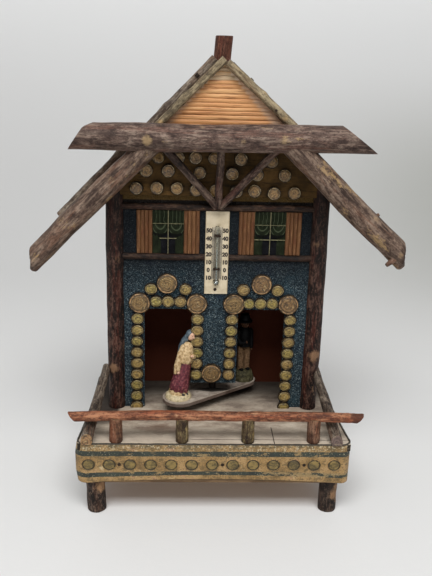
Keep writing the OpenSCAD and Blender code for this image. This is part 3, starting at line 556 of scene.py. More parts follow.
# The floor is painted paler towards its front edge.
colour = floor_finish.tint(colour, "#cfc2b0", along_y, *front_paling, 0.42)
# The floor's left corner between the side rail and the post is painted near-black: painted shadow of the
# rail and post.
corner_x, corner_y = (
    floor_finish.mask(way, *reach) for way, reach in zip((along_x, along_y), rail_post_shadow_reach))
rail_post_shadow = floor_finish.times(corner_x, corner_y)
colour = floor_finish.mix(colour, "#1d1511", floor_finish.times(rail_post_shadow, 0.92))
lip = floor_finish.plus(along_y, floor_finish.times(floor_finish.clouds(spot, 6 * mm, 6, 0.7), 3 * mm))
colour = floor_finish.tint(colour, "#c3b49c", lip, *pale_lip, 0.45)
colour = floor_finish.tint(colour, "#2b241c", lip, *dark_lip)
floor_finish.set(Base_Color=floor_finish.mix(colour, "#2e2722", joints))
floor_finish.relief(floor_finish.minus(1.0, joints), 0.5 * mm)
floor_low, floor_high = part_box("floor_board")
floor = board(floor_low, floor_high, 0.4 * mm, 14)
for vert in floor.verts:
    vert.co.x *= drawn_in(vert.co.y)
mount("floor_planks", [floor], [floor_finish], "weathered_board", "floor_board", sharp=30)
raw_board = old_board("raw_board", "#4a3a2a", "#6d5740", "#8b7254", "#57432f")
dress(raw_board, "attic_floor", "ridge_beam")
for node in ("front_apron", "rear_apron", "left_apron", "right_apron"):
    low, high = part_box(node)
    wide = high.x - low.x > high.y - low.y
    inset = Vector((apron_inset, 0, 0)) if wide else Vector((0, apron_inset, 0))
    apron = board(low + inset, high - inset, 0.4 * mm, 10)
    for vert in apron.verts:
        vert.co.x *= drawn_in(vert.co.y)
    mount(node + "_board", [apron], [raw_board], "raw_board", node, sharp=30)

# Paper band
# A strip of embossed gilt paper is pasted round the platform's edge. Two painted green stripes run
# along it with a row of pressed roundels between them, and its edges are rubbed and frayed.
band_low, band_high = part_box("edge_band")
band_corner = 7 * mm
band_thickness = 1.2 * mm
band_arch = 3.1 * mm
band_belly = 1.8 * mm
belly_power = 8
band_depth_share = 0.9945
band_depth_wave = 0.002
fray_top = 0.45 * mm
fray_foot = 0.5 * mm
fray_between = 0.28 * mm
edge_strip = 0.8 * mm
stripe_levels = ((30.2 * mm, 33.8 * mm), (46.5 * mm, 50.3 * mm))
roundel_level = 40.3 * mm
roundel_d = 9.2 * mm
roundel_pitch = 13.86 * mm
roundel_start = -84.8 * mm
front_roundels = 13
side_roundels = 7
front_roundel_y = band_low.y * 0.996
rear_roundel_y = band_high.y * 0.9915
gilt_paper = Finish("gilt_paper", 0.55, Specular_IOR_Level=0.5)
spot = gilt_paper.place()
tones = gilt_paper.clouds(spot, 12 * mm, 6, 0.65)
press = gilt_paper.clouds(spot, 0.9 * mm, 3, 0.6)
rubs = gilt_paper.clouds(gilt_paper.place((0.6, 0.6, 1)), 7 * mm, 7, 0.75)
gilt = gilt_paper.ramp(tones, (0.34, "#6b5430"), (0.47, "#9a7a4a"), (0.6, "#ae8d5e"), (0.7, "#a0735a"))
grime = gilt_paper.clouds(gilt_paper.place((0.7, 0.7, 1)), 3.2 * mm, 7, 0.75)
gilt = gilt_paper.tint(gilt, "#4d3d22", press, 0.48, 0.36, 0.75)
gilt = gilt_paper.tint(gilt, "#5a4a2c", grime, 0.48, 0.4, 0.75)
gilt = gilt_paper.tint(gilt, "#d9c69c", rubs, 0.62, 0.7, 0.6)
level = gilt_paper.axis(spot, "Z")
crest = gilt_paper.mask(level, stripe_levels[1][1], band_high.z - 1.5 * mm)
dull_crest = gilt_paper.times(crest, gilt_paper.mask(grime, 0.6, 0.45))
gilt = gilt_paper.mix(gilt, "#4a4430", gilt_paper.times(dull_crest, 0.7))
flakes = gilt_paper.clouds(spot, 1.5 * mm, 6, 0.75)
chips = gilt_paper.times(gilt_paper.mask(flakes, 0.54, 0.6), gilt_paper.mask(level, 49.5 * mm, 52 * mm))
gilt = gilt_paper.mix(gilt, "#c9bd9e", gilt_paper.times(chips, 0.85))
gilt = gilt_paper.tint(gilt, "#2e2619", level, band_high.z - 1.1 * mm, band_high.z - 0.7 * mm)
tone = gilt_paper.value("tone")
olive = gilt_paper.tint("#4e4224", "#8a7440", grime, 0.4, 0.6)
gilt = gilt_paper.tint(gilt, olive, tone, 0.5, 0.6)
gilt = gilt_paper.tint(gilt, "#2f2412", tone, 0.74, 0.9, gilt_paper.mask(flakes, 0.64, 0.5))
gilt_paper.set(Base_Color=gilt)
gilt_paper.relief(press, 0.25 * mm)
green_stripe = Finish("green_stripe", 0.6)
spot = green_stripe.place((0.5, 0.5, 1))
worn = green_stripe.clouds(spot, 5 * mm, 8, 0.75)
stripe = green_stripe.ramp(
    green_stripe.clouds(spot, 9 * mm), (0.3, "#191f1a"), (0.6, "#30372e"), (0.75, "#4a4c40"))
flecks = green_stripe.clouds(green_stripe.place(), 1.0 * mm, 5, 0.7)
lower = green_stripe.mask(green_stripe.axis(green_stripe.place(), "Z"), 40 * mm, 36 * mm)
rightward = green_stripe.mask(green_stripe.axis(green_stripe.place(), "X"), 10 * mm, 45 * mm)
worn_at = green_stripe.plus(worn, green_stripe.times(green_stripe.times(lower, rightward), 0.11))
stripe = green_stripe.tint(stripe, "#8f7850", worn_at, 0.57, 0.64)
stripe = green_stripe.tint(stripe, "#b3a888", flecks, 0.59, 0.68)
green_stripe.set(Base_Color=stripe)
green_stripe.relief(worn, 0.2 * mm)

band_size = band_high - band_low
band = bmesh.new()
band_place = Matrix.Translation((band_low + band_high) / 2) @ Matrix.Diagonal((*band_size, 1))
bmesh.ops.create_cube(band, size=1, matrix=band_place)
lids = [face for face in band.faces if abs(face.normal.z) > 0.5]
bmesh.ops.delete(band, geom=lids, context="FACES_ONLY")
corners = [edge for edge in band.edges if abs(edge.verts[0].co.z - edge.verts[1].co.z) > band_size.z / 2]
bmesh.ops.bevel(
    band, geom=corners, offset=band_corner, affect="EDGES", segments=8, profile=0.5, material=-1)
for level in (*stripe_levels[0], *stripe_levels[1], band_low.z + edge_strip, band_high.z - edge_strip):
    everything = band.verts[:] + band.edges[:] + band.faces[:]
    bmesh.ops.bisect_plane(band, geom=everything, plane_co=(0, 0, level), plane_no=(0, 0, 1))
long_edges = [edge for edge in band.edges if edge.calc_length() > 20 * mm]
level_edges = [edge for edge in long_edges if abs(edge.verts[0].co.z - edge.verts[1].co.z) < mm]
bmesh.ops.subdivide_edges(band, edges=level_edges, cuts=90, use_grid_fill=True)
for face in band.faces:
    level = face.calc_center_median().z
    face.material_index = int(any(low < level < high for low, high in stripe_levels))
for vert in band.verts:
    ripple = noise.noise(vert.co / (9 * mm))
    fray = noise.noise(vert.co / (2.3 * mm)) + 0.6 * ripple
    if vert.co.z > band_high.z - 0.1 * mm:
        vert.co.z -= fray_top * (0.5 + 0.5 * fray)
    elif vert.co.z < band_low.z + 0.1 * mm:
        vert.co.z += fray_foot * (0.6 + 0.5 * ripple)
    else:
        vert.co.z += fray_between * fray
    vert.co.y *= band_depth_share - band_depth_wave * (0.5 + 0.5 * ripple)
    arch = max(0, 1 - (vert.co.x / (band_high.x - band_corner)) ** 2)
    sag = max(0, (roundel_level - vert.co.z) / (roundel_level - band_low.z))
    vert.co.z += band_arch * arch * sag
    vert.co.x *= drawn_in(vert.co.y)
    if vert.co.x < 0:
        belly = max(0, math.sin(math.pi * (vert.co.z - band_low.z) / (band_high.z - band_low.z)))
        vert.co.x -= band_belly * belly * (vert.co.x / band_low.x) ** belly_power
band_piece = mount("gilt_band", [band], [gilt_paper, green_stripe], "embossed_paper", "edge_band")
band_wall = band_piece.modifiers.new("paper_thickness", "SOLIDIFY")
band_wall.thickness = band_thickness
band_wall.offset = -1


def roundel(at, turn, seed):
    """A pressed roundel: a raised ring with a sunk groove and a low button in it."""
    form = bmesh.new()
    rim = roundel_d / 2
    bmesh.ops.create_cone(
        form, cap_ends=True, segments=20, radius1=rim, radius2=rim - 0.3 * mm, depth=0.7 * mm)
    button = max(form.faces, key=lambda face: face.calc_center_median().z)
    tones = form.verts.layers.float.new("tone")
    steps = ((0.25 * mm, -0.3 * mm), (0.7 * mm, 0.0), (0.25 * mm, 0.3 * mm), (1.3 * mm, 0.12 * mm))
    for inset, depth in steps:
        bmesh.ops.inset_region(form, faces=[button], thickness=inset, depth=depth)
    for vert in form.verts:
        away = vert.co.to_2d().length / rim
        vert[tones] = 0.4 if away > 0.91 else 0.95 if away > 0.7 else 0.68
    wobble = 1.06 + 0.05 * math.sin(seed * 3.1)
    place = Matrix.Translation(at) @ turn @ Matrix.Rotation(math.pi / 2, 4, "X")
    form.transform(place @ Matrix.Diagonal((wobble, 1, 1, 1)))
    return form


roundels = []
for k in range(front_roundels):
    across = roundel_start + k * roundel_pitch
    for turn, y in ((0, front_roundel_y), (math.pi, rear_roundel_y)):
        at = Vector((across, y, roundel_level))
        roundels.append(roundel(at, Matrix.Rotation(turn, 4, "Z"), k + turn))
for k in range(side_roundels):
    across = (k - side_roundels // 2) * roundel_pitch
    for side in (-1, 1):
        out = band_high.x * drawn_in(across)
        if side < 0:
            out += band_belly * (out / band_high.x) ** belly_power
        at = Vector((side * out, across, roundel_level))
        roundels.append(roundel(at, Matrix.Rotation(side * math.pi / 2, 4, "Z"), k + side))
mount("band_roundels", roundels, [gilt_paper], "embossed_paper")

# Railing
# A reddish peeled twig lies along the front on four short twig balusters. A grey twig slopes from
# each front corner of the platform up to its corner post, nailed at both ends.
rail_low, rail_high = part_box("front_rail")
rail_radius = (rail_high.z - rail_low.z) / 2
rail_y, rail_z = (rail_low.y + rail_high.y) / 2, (rail_low.z + rail_high.z) / 2
rail_cut = 5.5 * mm
rail_rise = 1.7 * mm
rail_over = 4 * mm
rail_past = {-1: -0.8 * mm, 1: 1.4 * mm}
rail_tone = 0.45
knob_from = 89 * mm
knob_rough = 0.16
baluster_pitch = 44.5 * mm
baluster_peeled = (True, False, False, True)
baluster_share = 1.05
red_bark = bark(
    "red_rail_bark", "#4a2b20", "#8c573d", "#b07c5b", "#c9a17c", "#944f34", bare_from=0.64, streak=0.7,
    depth=0.3 * mm)
rail_knots = [(0.36, (0, -1, 0.4), 3 * mm, 0.5 * mm, 0.4), (0.62, (0, -0.5, 1), 4 * mm, 0.5 * mm, 0.4)]
rail = stick(
    (rail_low.x, rail_y, rail_z), (rail_high.x + rail_over, rail_y, rail_z), rail_radius * 0.96, 11,
    rail_tone, lumps=0.09, bow=1.0 * mm, knots=rail_knots, ring=1.0 * mm)
tones = rail.verts.layers.float["tone"]
for vert in rail.verts:
    rough = noise.noise(vert.co / (2.4 * mm))
    barky = min(1, max(0, (vert.co.x - knob_from) / (3 * mm) + 0.8 * rough))
    vert[tones] = max(rail_tone, 0.95 * barky)
    vert.co.y += (vert.co.y - rail_y) * knob_rough * barky * rough
    vert.co.z += (vert.co.z - rail_z) * knob_rough * barky * rough
    vert.co.z += rail_rise * (1 - (vert.co.x / rail_high.x) ** 2)
for side, past in rail_past.items():
    end_x = rail_high.x + past - rail_cut / 2
    saw(rail, (side * end_x, rail_y, rail_z), (side * 2 * rail_radius, 0, -rail_cut))
grey_twig = bark("grey_twig_bark", "#1f1814", "#54473c", "#8a7d6e", "#a58b63", "#5e4232", bare_from=0.62)
rail_end = end_grain("rail_end", "#9a7a5a", "#54392b", "#7a5a44")
mount("front_rail_twig", [rail], [red_bark, rail_end], "red_bark", "front_rail")

baluster_low, baluster_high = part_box("balusters")
baluster_radius = (baluster_high.y - baluster_low.y) / 2
baluster_bark = bark("baluster_bark", "#2a1d15", "#574631", "#8a7a55", "#a0895a", "#5a3a26", bare_from=0.58)
orange_bark = bark(
    "red_baluster_bark", "#3a241b", "#74503a", "#94705a", "#5f5540", "#8a4e32", bare_from=0.6)
for k, peeled in enumerate(baluster_peeled):
    x = (k - 1.5) * baluster_pitch
    post = stick(
        (x, rail_y, floor_level), (x, rail_y, rail_z), baluster_radius * baluster_share, 21 + k, 0.78, 0.4,
        lumps=0.1, knots=[(0.2, (1, -1, 0), 3 * mm, 0.4 * mm, 0.4)], ring=1.2 * mm)
    finish = orange_bark if peeled else baluster_bark
    nodes = ("balusters",) if k == 0 else ()
    mount(f"baluster_{k + 1}", [post], [finish, sawn_end], "red_bark", *nodes)

side_rail_radius = 4.2 * mm
side_rail_taper = 0.28
side_rail_foot = {-1: 86.2 * mm, 1: 82.6 * mm}
side_rail_head = {-1: 77.2 * mm, 1: 75.0 * mm}
side_rail_front = (-60 * mm, 57.0 * mm)
side_rail_back = (2 * mm, 86.5 * mm)
pale_end = end_grain("pale_end", "#b0885a", "#22160d", "#7d5c3e")
grey_end = end_grain("grey_end", "#7d6860", "#241a15", "#5e4b42")
for side, node in ((-1, "left_side_rail"), (1, "right_side_rail")):
    low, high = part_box(node)
    foot = Vector((side * side_rail_foot[side], *side_rail_front))
    head = Vector((side * side_rail_head[side], *side_rail_back))
    knots = [(0.3, (side, -0.4, 0.5), 4 * mm, 0.5 * mm, 0.4)]
    slope = stick(
        foot, head, side_rail_radius * 0.97, 31 + side, taper=side_rail_taper, lumps=0.12, bow=0.8 * mm,
        knots=knots, ring=1.2 * mm)
    saw(slope, (0, low.y + 0.1 * mm, floor_level), (0, -1, 0.1))
    saw(slope, (0, 0, floor_level), (0, 0, -1))
    mount(node + "_twig", [slope], [grey_twig, pale_end if side < 0 else grey_end], "grey_twig", node)

# Corner posts
# Four straight twigs with dark purple-brown bark stand at the house's corners and carry the roof.
# The walls are nailed to them, and their tops are cut to the roof's slope.
dark_bark = bark(
    "post_bark", "#0b0605", "#28160f", "#64493e", "#8f6e52", "#4c2015", bare_from=0.63, fleck=0.8)
front_post_share = 1.01
rear_post_share = 0.97
post_over = 2 * mm
post_knots = {
    "left_front_post": [
        (0.18, (-0.3, -1, 0), 5 * mm, 0.5 * mm, 0.66),
        (0.63, (0.5, -1, 0), 4 * mm, 0.3 * mm, 0.5)],
    "right_front_post": [
        (0.24, (0.2, -1, 0), 6.5 * mm, 0.4 * mm, 0.66),
        (0.7, (-0.5, -1, 0), 4 * mm, 0.3 * mm, 0.5)],
    "left_rear_post": [(0.4, (-1, 0.5, 0), 5 * mm, 0.6 * mm, 0.4)],
    "right_rear_post": [(0.5, (1, 0.5, 0), 5 * mm, 0.6 * mm, 0.4)],
}
front_wall_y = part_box("front_wall")[1].y
post_in = {-1: 1.2 * mm, 1: -0.5 * mm}
for seed, (node, knots) in enumerate(post_knots.items()):
    low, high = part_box(node)
    radius = (high.y - low.y) / 2
    at = (low + high) / 2
    front = at.y < front_wall_y
    share = front_post_share if front else rear_post_share
    at.x += post_in[math.copysign(1, at.x)] if front else 0
    # The tone runs from 0.35 at the foot to 0.9 at the top: painted shade under the roof darkens the posts'
    # upper parts.
    twig = stick(
        (at.x, at.y, low.z), (at.x, at.y, high.z + post_over), radius * share, 41 + seed, 0.35, 0.9,
        lumps=0.08, bow=0.7 * mm, knots=knots)
    side = math.copysign(1, at.x)
    saw(twig, (side * (abs(at.x) + radius), at.y, high.z - 2 * radius), (side, 0, 1))
    mount(node + "_twig", [twig], [dark_bark, sawn_end], "dark_bark", node)

# Walls
# Thin boards close the house. The front and sides are painted blue and strewn with coarse sand that
# glitters, with a brown strip under the gable panel. The back is bare, and the rooms inside are
# stained a dark red-brown.
upper_shade = (138 * mm, 174 * mm)
eaves_shade = (204 * mm, 206 * mm)
brown_strip = (209.6 * mm, 210.6 * mm)
grain_size = 0.52 * mm
sand = Finish("blue_sand", 0.75, Specular_IOR_Level=0.25)
spot = sand.place()
grain_tone = sand.axis(sand.grains(spot, grain_size), "X")
fine_tone = sand.axis(sand.grains(spot, 0.38 * mm), "Y")
grain_dome = sand.grains(spot, grain_size, "Distance")
fades = sand.clouds(spot, 22 * mm, 6, 0.65)
level = sand.axis(spot, "Z")
colour = sand.ramp(grain_tone, (0.05, "#0c1316"), (0.5, "#263238"), (0.88, "#445760"), (0.99, "#869494"))
colour = sand.tint(colour, "#172630", fine_tone, 0.45, 0.1, 0.8)
colour = sand.tint(colour, "#33505a", fades, 0.5, 0.68, 0.35)
colour = sand.tint(colour, "#1c2740", fades, 0.46, 0.3, 0.5)
# Painted shade: the wall darkens towards the eaves, and a near-black band just below the gable panel is
# painted shadow.
colour = sand.tint(colour, "#060a10", level, *upper_shade, 0.9)
colour = sand.tint(colour, "#0d0704", level, *eaves_shade)
colour = sand.tint(colour, "#54401f", level, *brown_strip)
side_low, side_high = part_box("right_wall")
side_middle = (side_low.x + side_high.x) / 2
inner = sand.mask(sand.axis(spot, "Y"), front_wall_y - 0.2 * mm, front_wall_y - 0.05 * mm)
within = sand.mask(sand.size_of(sand.axis(spot, "X")), side_middle + 0.1 * mm, side_middle - 0.1 * mm)
inner = sand.times(inner, within)
sand.set(Base_Color=sand.mix(colour, "#301409", inner), Roughness=sand.mask(grain_tone, 1.1, 0.5))
sand.relief(grain_dome, 0.5 * mm)
dress(sand, "front_wall", "left_wall", "right_wall")
rear_middle = (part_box("rear_wall")[0].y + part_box("rear_wall")[1].y) / 2
back_board = old_board("back_board", "#5c4834", "#745d45", "#8a7154", "#665039", grain=(1, 1, 0.07))
along_y = back_board.axis(back_board.place(), "Y")
inner = back_board.mask(along_y, rear_middle + 0.1 * mm, rear_middle - 0.1 * mm)
back_board.set(Base_Color=back_board.mix(back_board.colour, "#4a200f", inner))
dress(back_board, "rear_wall")

# Mouldings
# Twigs split lengthwise are tacked flat side down across the front: one above the windows, and one
# below them on each side of the thermometer.
lower_rise = 1.3 * mm
upper_tone = 0.5
lower_tone = 0.72
moulding_knots = [
    (0.35, (0, -1, 0.3), 2.5 * mm, 0.4 * mm, 0.4),
    (0.8, (0, -1, -0.4), 2 * mm, 0.3 * mm, 0.4)]
moulding_bark = bark("moulding_bark", "#120b08", "#2b1d16", "#543f31", "#75563b", "#3f2216", bare_from=0.6)
for seed, node in enumerate(("upper_moulding", "left_lower_moulding", "right_lower_moulding")):
    low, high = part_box(node)
    radius = (high.z - low.z) / 2
    rise, tone = (lower_rise, lower_tone) if "lower" in node else (0, upper_tone)
    z = (low.z + high.z) / 2 + rise
    split = stick(
        (low.x, 0, z), (high.x, 0, z), radius * 0.97, 51 + seed, tone, lumps=0.12, bow=0.6 * mm,
        knots=moulding_knots, ring=1.6 * mm)
    saw(split, (0, 0, 0), (0, 1, 0))
    mount(node + "_twig", [split], [moulding_bark, sawn_end], "brown_moulding", node)

# Windows
# Each window is a dark card with green festoon curtains: a pleated top, two scallops with a dark
# fringe, and a straight drape down each side. Three thin strips of cream paper make the bars.
pleats_foot = 0.4
scallop_top = 0.28
scallop_foot = 0.5
scallop_sag = 3.2 * mm
scallop_gap = 0.4 * mm
fringe_share = 0.2
drape_top = 0.52
drape_share = 0.27
bar_half = 0.24 * mm
lower_bar = 0.64
upper_bar = 0.3
curtain = Finish("green_curtain", 0.85, Specular_IOR_Level=0.1)
spot = curtain.place((1, 1, 0.2))
threads = curtain.clouds(spot, 0.7 * mm, 4, 0.6)
colour = curtain.ramp(
    curtain.clouds(curtain.place(), 5 * mm), (0.3, "#0e110a"), (0.55, "#1b2013"), (0.75, "#2c3122"))
colour = curtain.tint(colour, "#1b2413", threads, 0.5, 0.35, 0.7)
colour = curtain.tint(colour, "#505843", curtain.value("tone"), 0.35, 0.05, 0.6)
colour = curtain.tint(colour, "#090a07", curtain.value("tone"), 0.7, 0.85)
curtain.set(Base_Color=colour)
curtain.relief(threads, 0.15 * mm)
dark_card = Finish("dark_card", 0.9, Specular_IOR_Level=0.1)
shade = dark_card.clouds(dark_card.place(), 6 * mm)
dark_card.set(Base_Color=dark_card.ramp(shade, (0.35, "#08080a"), (0.65, "#16161a")))
cream_strip = Finish("cream_strip", 0.7)
age = cream_strip.clouds(cream_strip.place(), 2 * mm)
cream_strip.set(Base_Color=cream_strip.ramp(age, (0.3, "#4d482f"), (0.6, "#7d7756"), (0.8, "#a39c78")))


def hanging(x0, x1, top, foot, folds, puff, sag=0.0, seed=0.0, fringe=0.0):
    """A small hanging between two sides, in folds, puffed out and sagging along its lower edge."""
    form = bmesh.new()
    bmesh.ops.create_grid(form, x_segments=56, y_segments=32, size=0.5)
    tones = form.verts.layers.float.new("tone")
    for vert in form.verts:
        across, down = vert.co.x + 0.5, 0.5 - vert.co.y
        swell = math.sin(math.pi * across) ** 0.5
        low = foot - sag * swell
        drift = noise.noise(Vector((across * 2, down * 2, seed)))
        wave = math.cos(math.tau * folds * (across - 0.5) + 1.6 * drift)
        out = puff * (0.35 + 0.65 * math.sin(math.pi * min(1, down * 0.85))) * swell + 0.13 * mm * wave
        ring = 3.6 * math.hypot(across - 0.5, 0.7 * down)
        loop = math.sin(math.tau * (ring + 0.2 * noise.noise(Vector((across, down, seed)))))
        pale = loop > 0.72 if fringe else wave > 0.9 and folds > 3
        vert[tones] = 0.9 if down > 1 - fringe else 0.08 if pale else 0.4
        vert.co = Vector((x0 + (x1 - x0) * across, -0.5 * mm - out, top + (low - top) * down))
    bmesh.ops.recalc_face_normals(form, faces=form.faces)
    if form.faces[0].normal.y > 0:
        bmesh.ops.reverse_faces(form, faces=form.faces)
    bmesh.ops.solidify(form, geom=form.faces[:], thickness=0.25 * mm)
    return form


def part_down(low, high, share):
    """The height at a share of the way down a window."""
    return high.z + (low.z - high.z) * share


bars = []
for seed, node in enumerate(("left_window", "right_window")):
    low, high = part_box(node)
    low = low + Vector((0, 0, lower_rise))
    width = high.x - low.x
    middle = (low.x + high.x) / 2
    card = board((low.x, -0.45 * mm, low.z), (high.x, 0, high.z), 0.1 * mm)
    mount(node + "_card", [card], [dark_card], "window_card", node)
    cloths = [hanging(low.x, high.x, high.z, part_down(low, high, pleats_foot), 8, 0.25 * mm, seed=seed)]
    top, foot = part_down(low, high, scallop_top), part_down(low, high, scallop_foot)
    for x0, x1, more in ((low.x, middle - scallop_gap, 3.1), (middle + scallop_gap, high.x, 5.7)):
        cloths.append(hanging(x0, x1, top, foot, 3, 0.5 * mm, scallop_sag, seed + more, fringe_share))
    top = part_down(low, high, drape_top)
    drape = drape_share * width
    for x0, x1, more in ((low.x, low.x + drape, 8.0), (high.x - drape, high.x, 9.0)):
        cloths.append(hanging(x0, x1, top, low.z, 2, 0.2 * mm, seed=seed + more))
    mount(node + "_curtains", cloths, [curtain], "window_card")
    bars.append(
        board((middle - bar_half, -1.9 * mm, low.z), (middle + bar_half, -1.3 * mm, high.z), 0.1 * mm))
    cross_bars = ((lower_bar, 0.55 + 0.45 * seed, bar_half), (upper_bar, 1.0, bar_half * 0.6))
    for share, reach, half in cross_bars:
        reach *= width / 2
        at = part_down(low, high, share)
        bars.append(
            board((middle - reach, -1.8 * mm, at - half), (middle + reach, -1.3 * mm, at + half), 0.1 * mm))
mount("paper_window_bars", bars, [cream_strip], "cream_paper", "window_bars")

# Shutters
# A pair of shutters flanks each window. Each is a strip with four split reeds glued side by side on
# it, upright, varnished orange-brown and finely notched across.
shutter_reeds = 4
notch_pitch = 1.2 * mm
reed_flat = 0.75
reed_wood = Finish("orange_reed", 0.6, Specular_IOR_Level=0.25)
along = reed_wood.place((1, 1, 0.08), grain=True)
fibres = reed_wood.clouds(along, 0.7 * mm, 5, 0.62)
tones = reed_wood.clouds(reed_wood.place((1, 1, 0.4), grain=True), 5 * mm, 5, 0.6)
colour = reed_wood.mix("#5e3c22", "#6f4c2e", reed_wood.value("tone"))
colour = reed_wood.tint(colour, "#5f3820", tones, 0.48, 0.3)
colour = reed_wood.tint(colour, "#432614", fibres, 0.5, 0.33, 0.8)
colour = reed_wood.tint(colour, "#956f4a", fibres, 0.56, 0.66, 0.7)
along_z = reed_wood.axis(reed_wood.place(grain=True), "Z")
ribs = reed_wood.sums("SINE", reed_wood.times(along_z, math.tau / notch_pitch))
notch = reed_wood.times(reed_wood.mask(ribs, 0.2, 0.9), reed_wood.mask(tones, 0.42, 0.52))
colour = reed_wood.mix(colour, "#3a1f0c", reed_wood.times(notch, 0.35))
reed_wood.set(Base_Color=colour)
reed_wood.relief(fibres, 0.2 * mm)
shutter_random = random.Random(7)
for seed, node in enumerate(("left_shutters", "right_shutters")):
    low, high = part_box(node)
    low = low + Vector((0, 0, lower_rise))
    window_low, window_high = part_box(node.replace("shutters", "window"))
    reeds = []
    for x0, x1 in ((low.x, window_low.x - 0.1 * mm), (window_high.x + 0.1 * mm, high.x)):
        reeds.append(board((x0, -0.8 * mm, low.z), (x1, 0, high.z), 0.1 * mm))
        pitch = (x1 - x0) / shutter_reeds
        for k in range(shutter_reeds):
            x = x0 + (k + 0.5) * pitch
            top = high.z - shutter_random.uniform(0, 0.5) * mm
            foot = low.z + shutter_random.uniform(0, 0.4) * mm
            tone = shutter_random.random()
            reed = stick(
                (x, 0, foot), (x, 0, top), pitch * 0.5, 60 + seed * 20 + k + x * 900, tone,
                lumps=0.07, bow=0.15 * mm, sides=12, ring=2.4 * mm)
            bmesh.ops.scale(reed, vec=(1, reed_flat, 1), verts=reed.verts)
            bmesh.ops.translate(reed, vec=(0, -0.75 * mm, 0), verts=reed.verts)
            reeds.append(reed)
    mount(node + "_reeds", reeds, [reed_wood, reed_wood], "reed", node)

# Twig slices round the doors
# Thin slices sawn from twigs are glued round both doorways: small ones up the sides and along the
# top, large ones at the corners and the crown, and one at the foot of the middle pier.
door_x = 33.3 * mm
door_half = 16.8 * mm
small_d = 8.1 * mm
large_d = 14.3 * mm
pier_d = 14.1 * mm
slice_gap = 0.45 * mm
small_share = 1.07
small_wide = 1.09
large_share = 1.08
large_in = 1.1 * mm
right_in = 1.5 * mm
pier_x = -1.5 * mm
outer_slices = 9
inner_slices = 6
column_in = 0.4 * mm
right_row_shift = -1.2 * mm
crown_rise = 3.0 * mm
slice_thickness = 2.2 * mm
slice_row = 136.5 * mm
column_off = door_half + slice_gap + small_d / 2
slice_step = small_d + slice_gap
corner_step = (small_d + large_d) / 2 + slice_gap
column_shift = {(-1, 1): (-0.7, -0.9), (-1, -1): (0.0, -0.2), (1, -1): (-0.4, -1.2), (1, 1): (-0.4, -1.2)}
slice_random = random.Random(5)
slice_face = end_grain("slice_face", "#9a7d46", "#241a09", "#93833e", gloss=0.15, pale_rim_and_highlight="#bda873")
large_face = end_grain("large_slice_face", "#80603a", "#281b0b", "#84693c", gloss=0.1, pale_rim_and_highlight="#a8845a")
slice_rim = bark("slice_bark", "#120d07", "#2e2213", "#57452a", "#b59a68", "#3d2c17", bare_from=0.64)


def twig_slice(x, z, diameter, back=0.0, sides=22, tilt=0.05, wide=1.0):
    """A slice of twig glued to the wall: an uneven disc with a thin rim of bark and a rough face."""
    form = bmesh.new()
    thickness = slice_thickness * slice_random.uniform(0.85, 1.0)
    radius = diameter / 2 * slice_random.uniform(0.95, 1.0)
    bmesh.ops.create_cone(
        form, cap_ends=True, segments=sides, radius1=radius, radius2=radius, depth=thickness)
    front = max(form.faces, key=lambda face: face.calc_center_median().z)
    for face in form.faces:
        face.material_index = 1
    bmesh.ops.inset_region(form, faces=[front], thickness=0.3 * mm, depth=0.18 * mm)
    bmesh.ops.inset_region(form, faces=[front], thickness=0.3 * mm, depth=-0.05 * mm)
    front.material_index = 0
    bmesh.ops.inset_region(form, faces=[front], thickness=0.5 * mm, depth=0.22 * mm)
    pith = slice_random.uniform(-0.1, 0.15) * mm
    bmesh.ops.inset_region(form, faces=[front], thickness=radius * 0.4, depth=pith)
    grain = form.verts.layers.float_vector.new("grain")
    tones = form.verts.layers.float.new("tone")
    rims = form.verts.layers.float.new("rim")
    seed = slice_random.uniform(0, 50)
    tone = slice_random.random()
    for vert in form.verts:
        vert[grain] = vert.co + Vector((0, 0, seed))
        vert[tones] = tone
        vert[rims] = vert.co.to_2d().length / radius
        way = vert.co.to_2d().normalized() if vert.co.to_2d().length else Vector((1, 0))
        swell = 1 + 0.05 * noise.noise(Vector((way.x * 1.1, way.y * 1.1, seed)))
        vert.co.x *= swell
        vert.co.y *= swell
    spin = Matrix.Rotation(slice_random.uniform(0, math.tau), 4, "Z")
    nod = Matrix.Rotation(math.pi / 2 + slice_random.uniform(-tilt, tilt), 4, "X")
    lean = nod @ Matrix.Rotation(slice_random.uniform(-tilt, tilt), 4, "Y")
    place = Matrix.Translation((x, back - slice_thickness / 2, z)) @ Matrix.Diagonal((wide, 1, 1, 1))
    form.transform(place @ lean @ spin)
    return form


def small_slice(x, z):
    """One of the small slices beside or over a door."""
    return twig_slice(x, z, small_d * small_share, wide=small_wide)


def large_slice(x, z, diameter):
    """One of the large slices, with a finer rim."""
    return twig_slice(x, z, diameter * large_share, sides=30)


for side, node in ((-1, "left_door_slices"), (1, "right_door_slices")):
    slices = []
    row_shift = right_row_shift if side > 0 else 0
    for way, count in ((1, outer_slices), (-1, inner_slices)):
        first, more = column_shift[side, way]
        for k in range(count):
            x = side * (door_x + way * (column_off - column_in)) + (first + more * k / count) * mm
            slices.append(small_slice(x, slice_row - corner_step - k * slice_step))
    for k in (-1, 0, 1):
        x = side * door_x + k * slice_step + row_shift * (1 + 0.3 * k)
        slices.append(small_slice(x, slice_row + (1.0 - 0.4 * side) * mm))
    for way in (-1, 1):
        x = side * door_x + way * (corner_step + slice_gap) + 1.3 * row_shift
        slices.append(small_slice(x, slice_row + slice_step + 2.0 * mm))
    for form in slices:
        if min(vert.co.z for vert in form.verts) < floor_level:
            saw(form, (0, 0, floor_level), (0, 0, -1))
    mount(node + "_twigs", slices, [slice_face, slice_rim], "twig_slice", node)
large = []
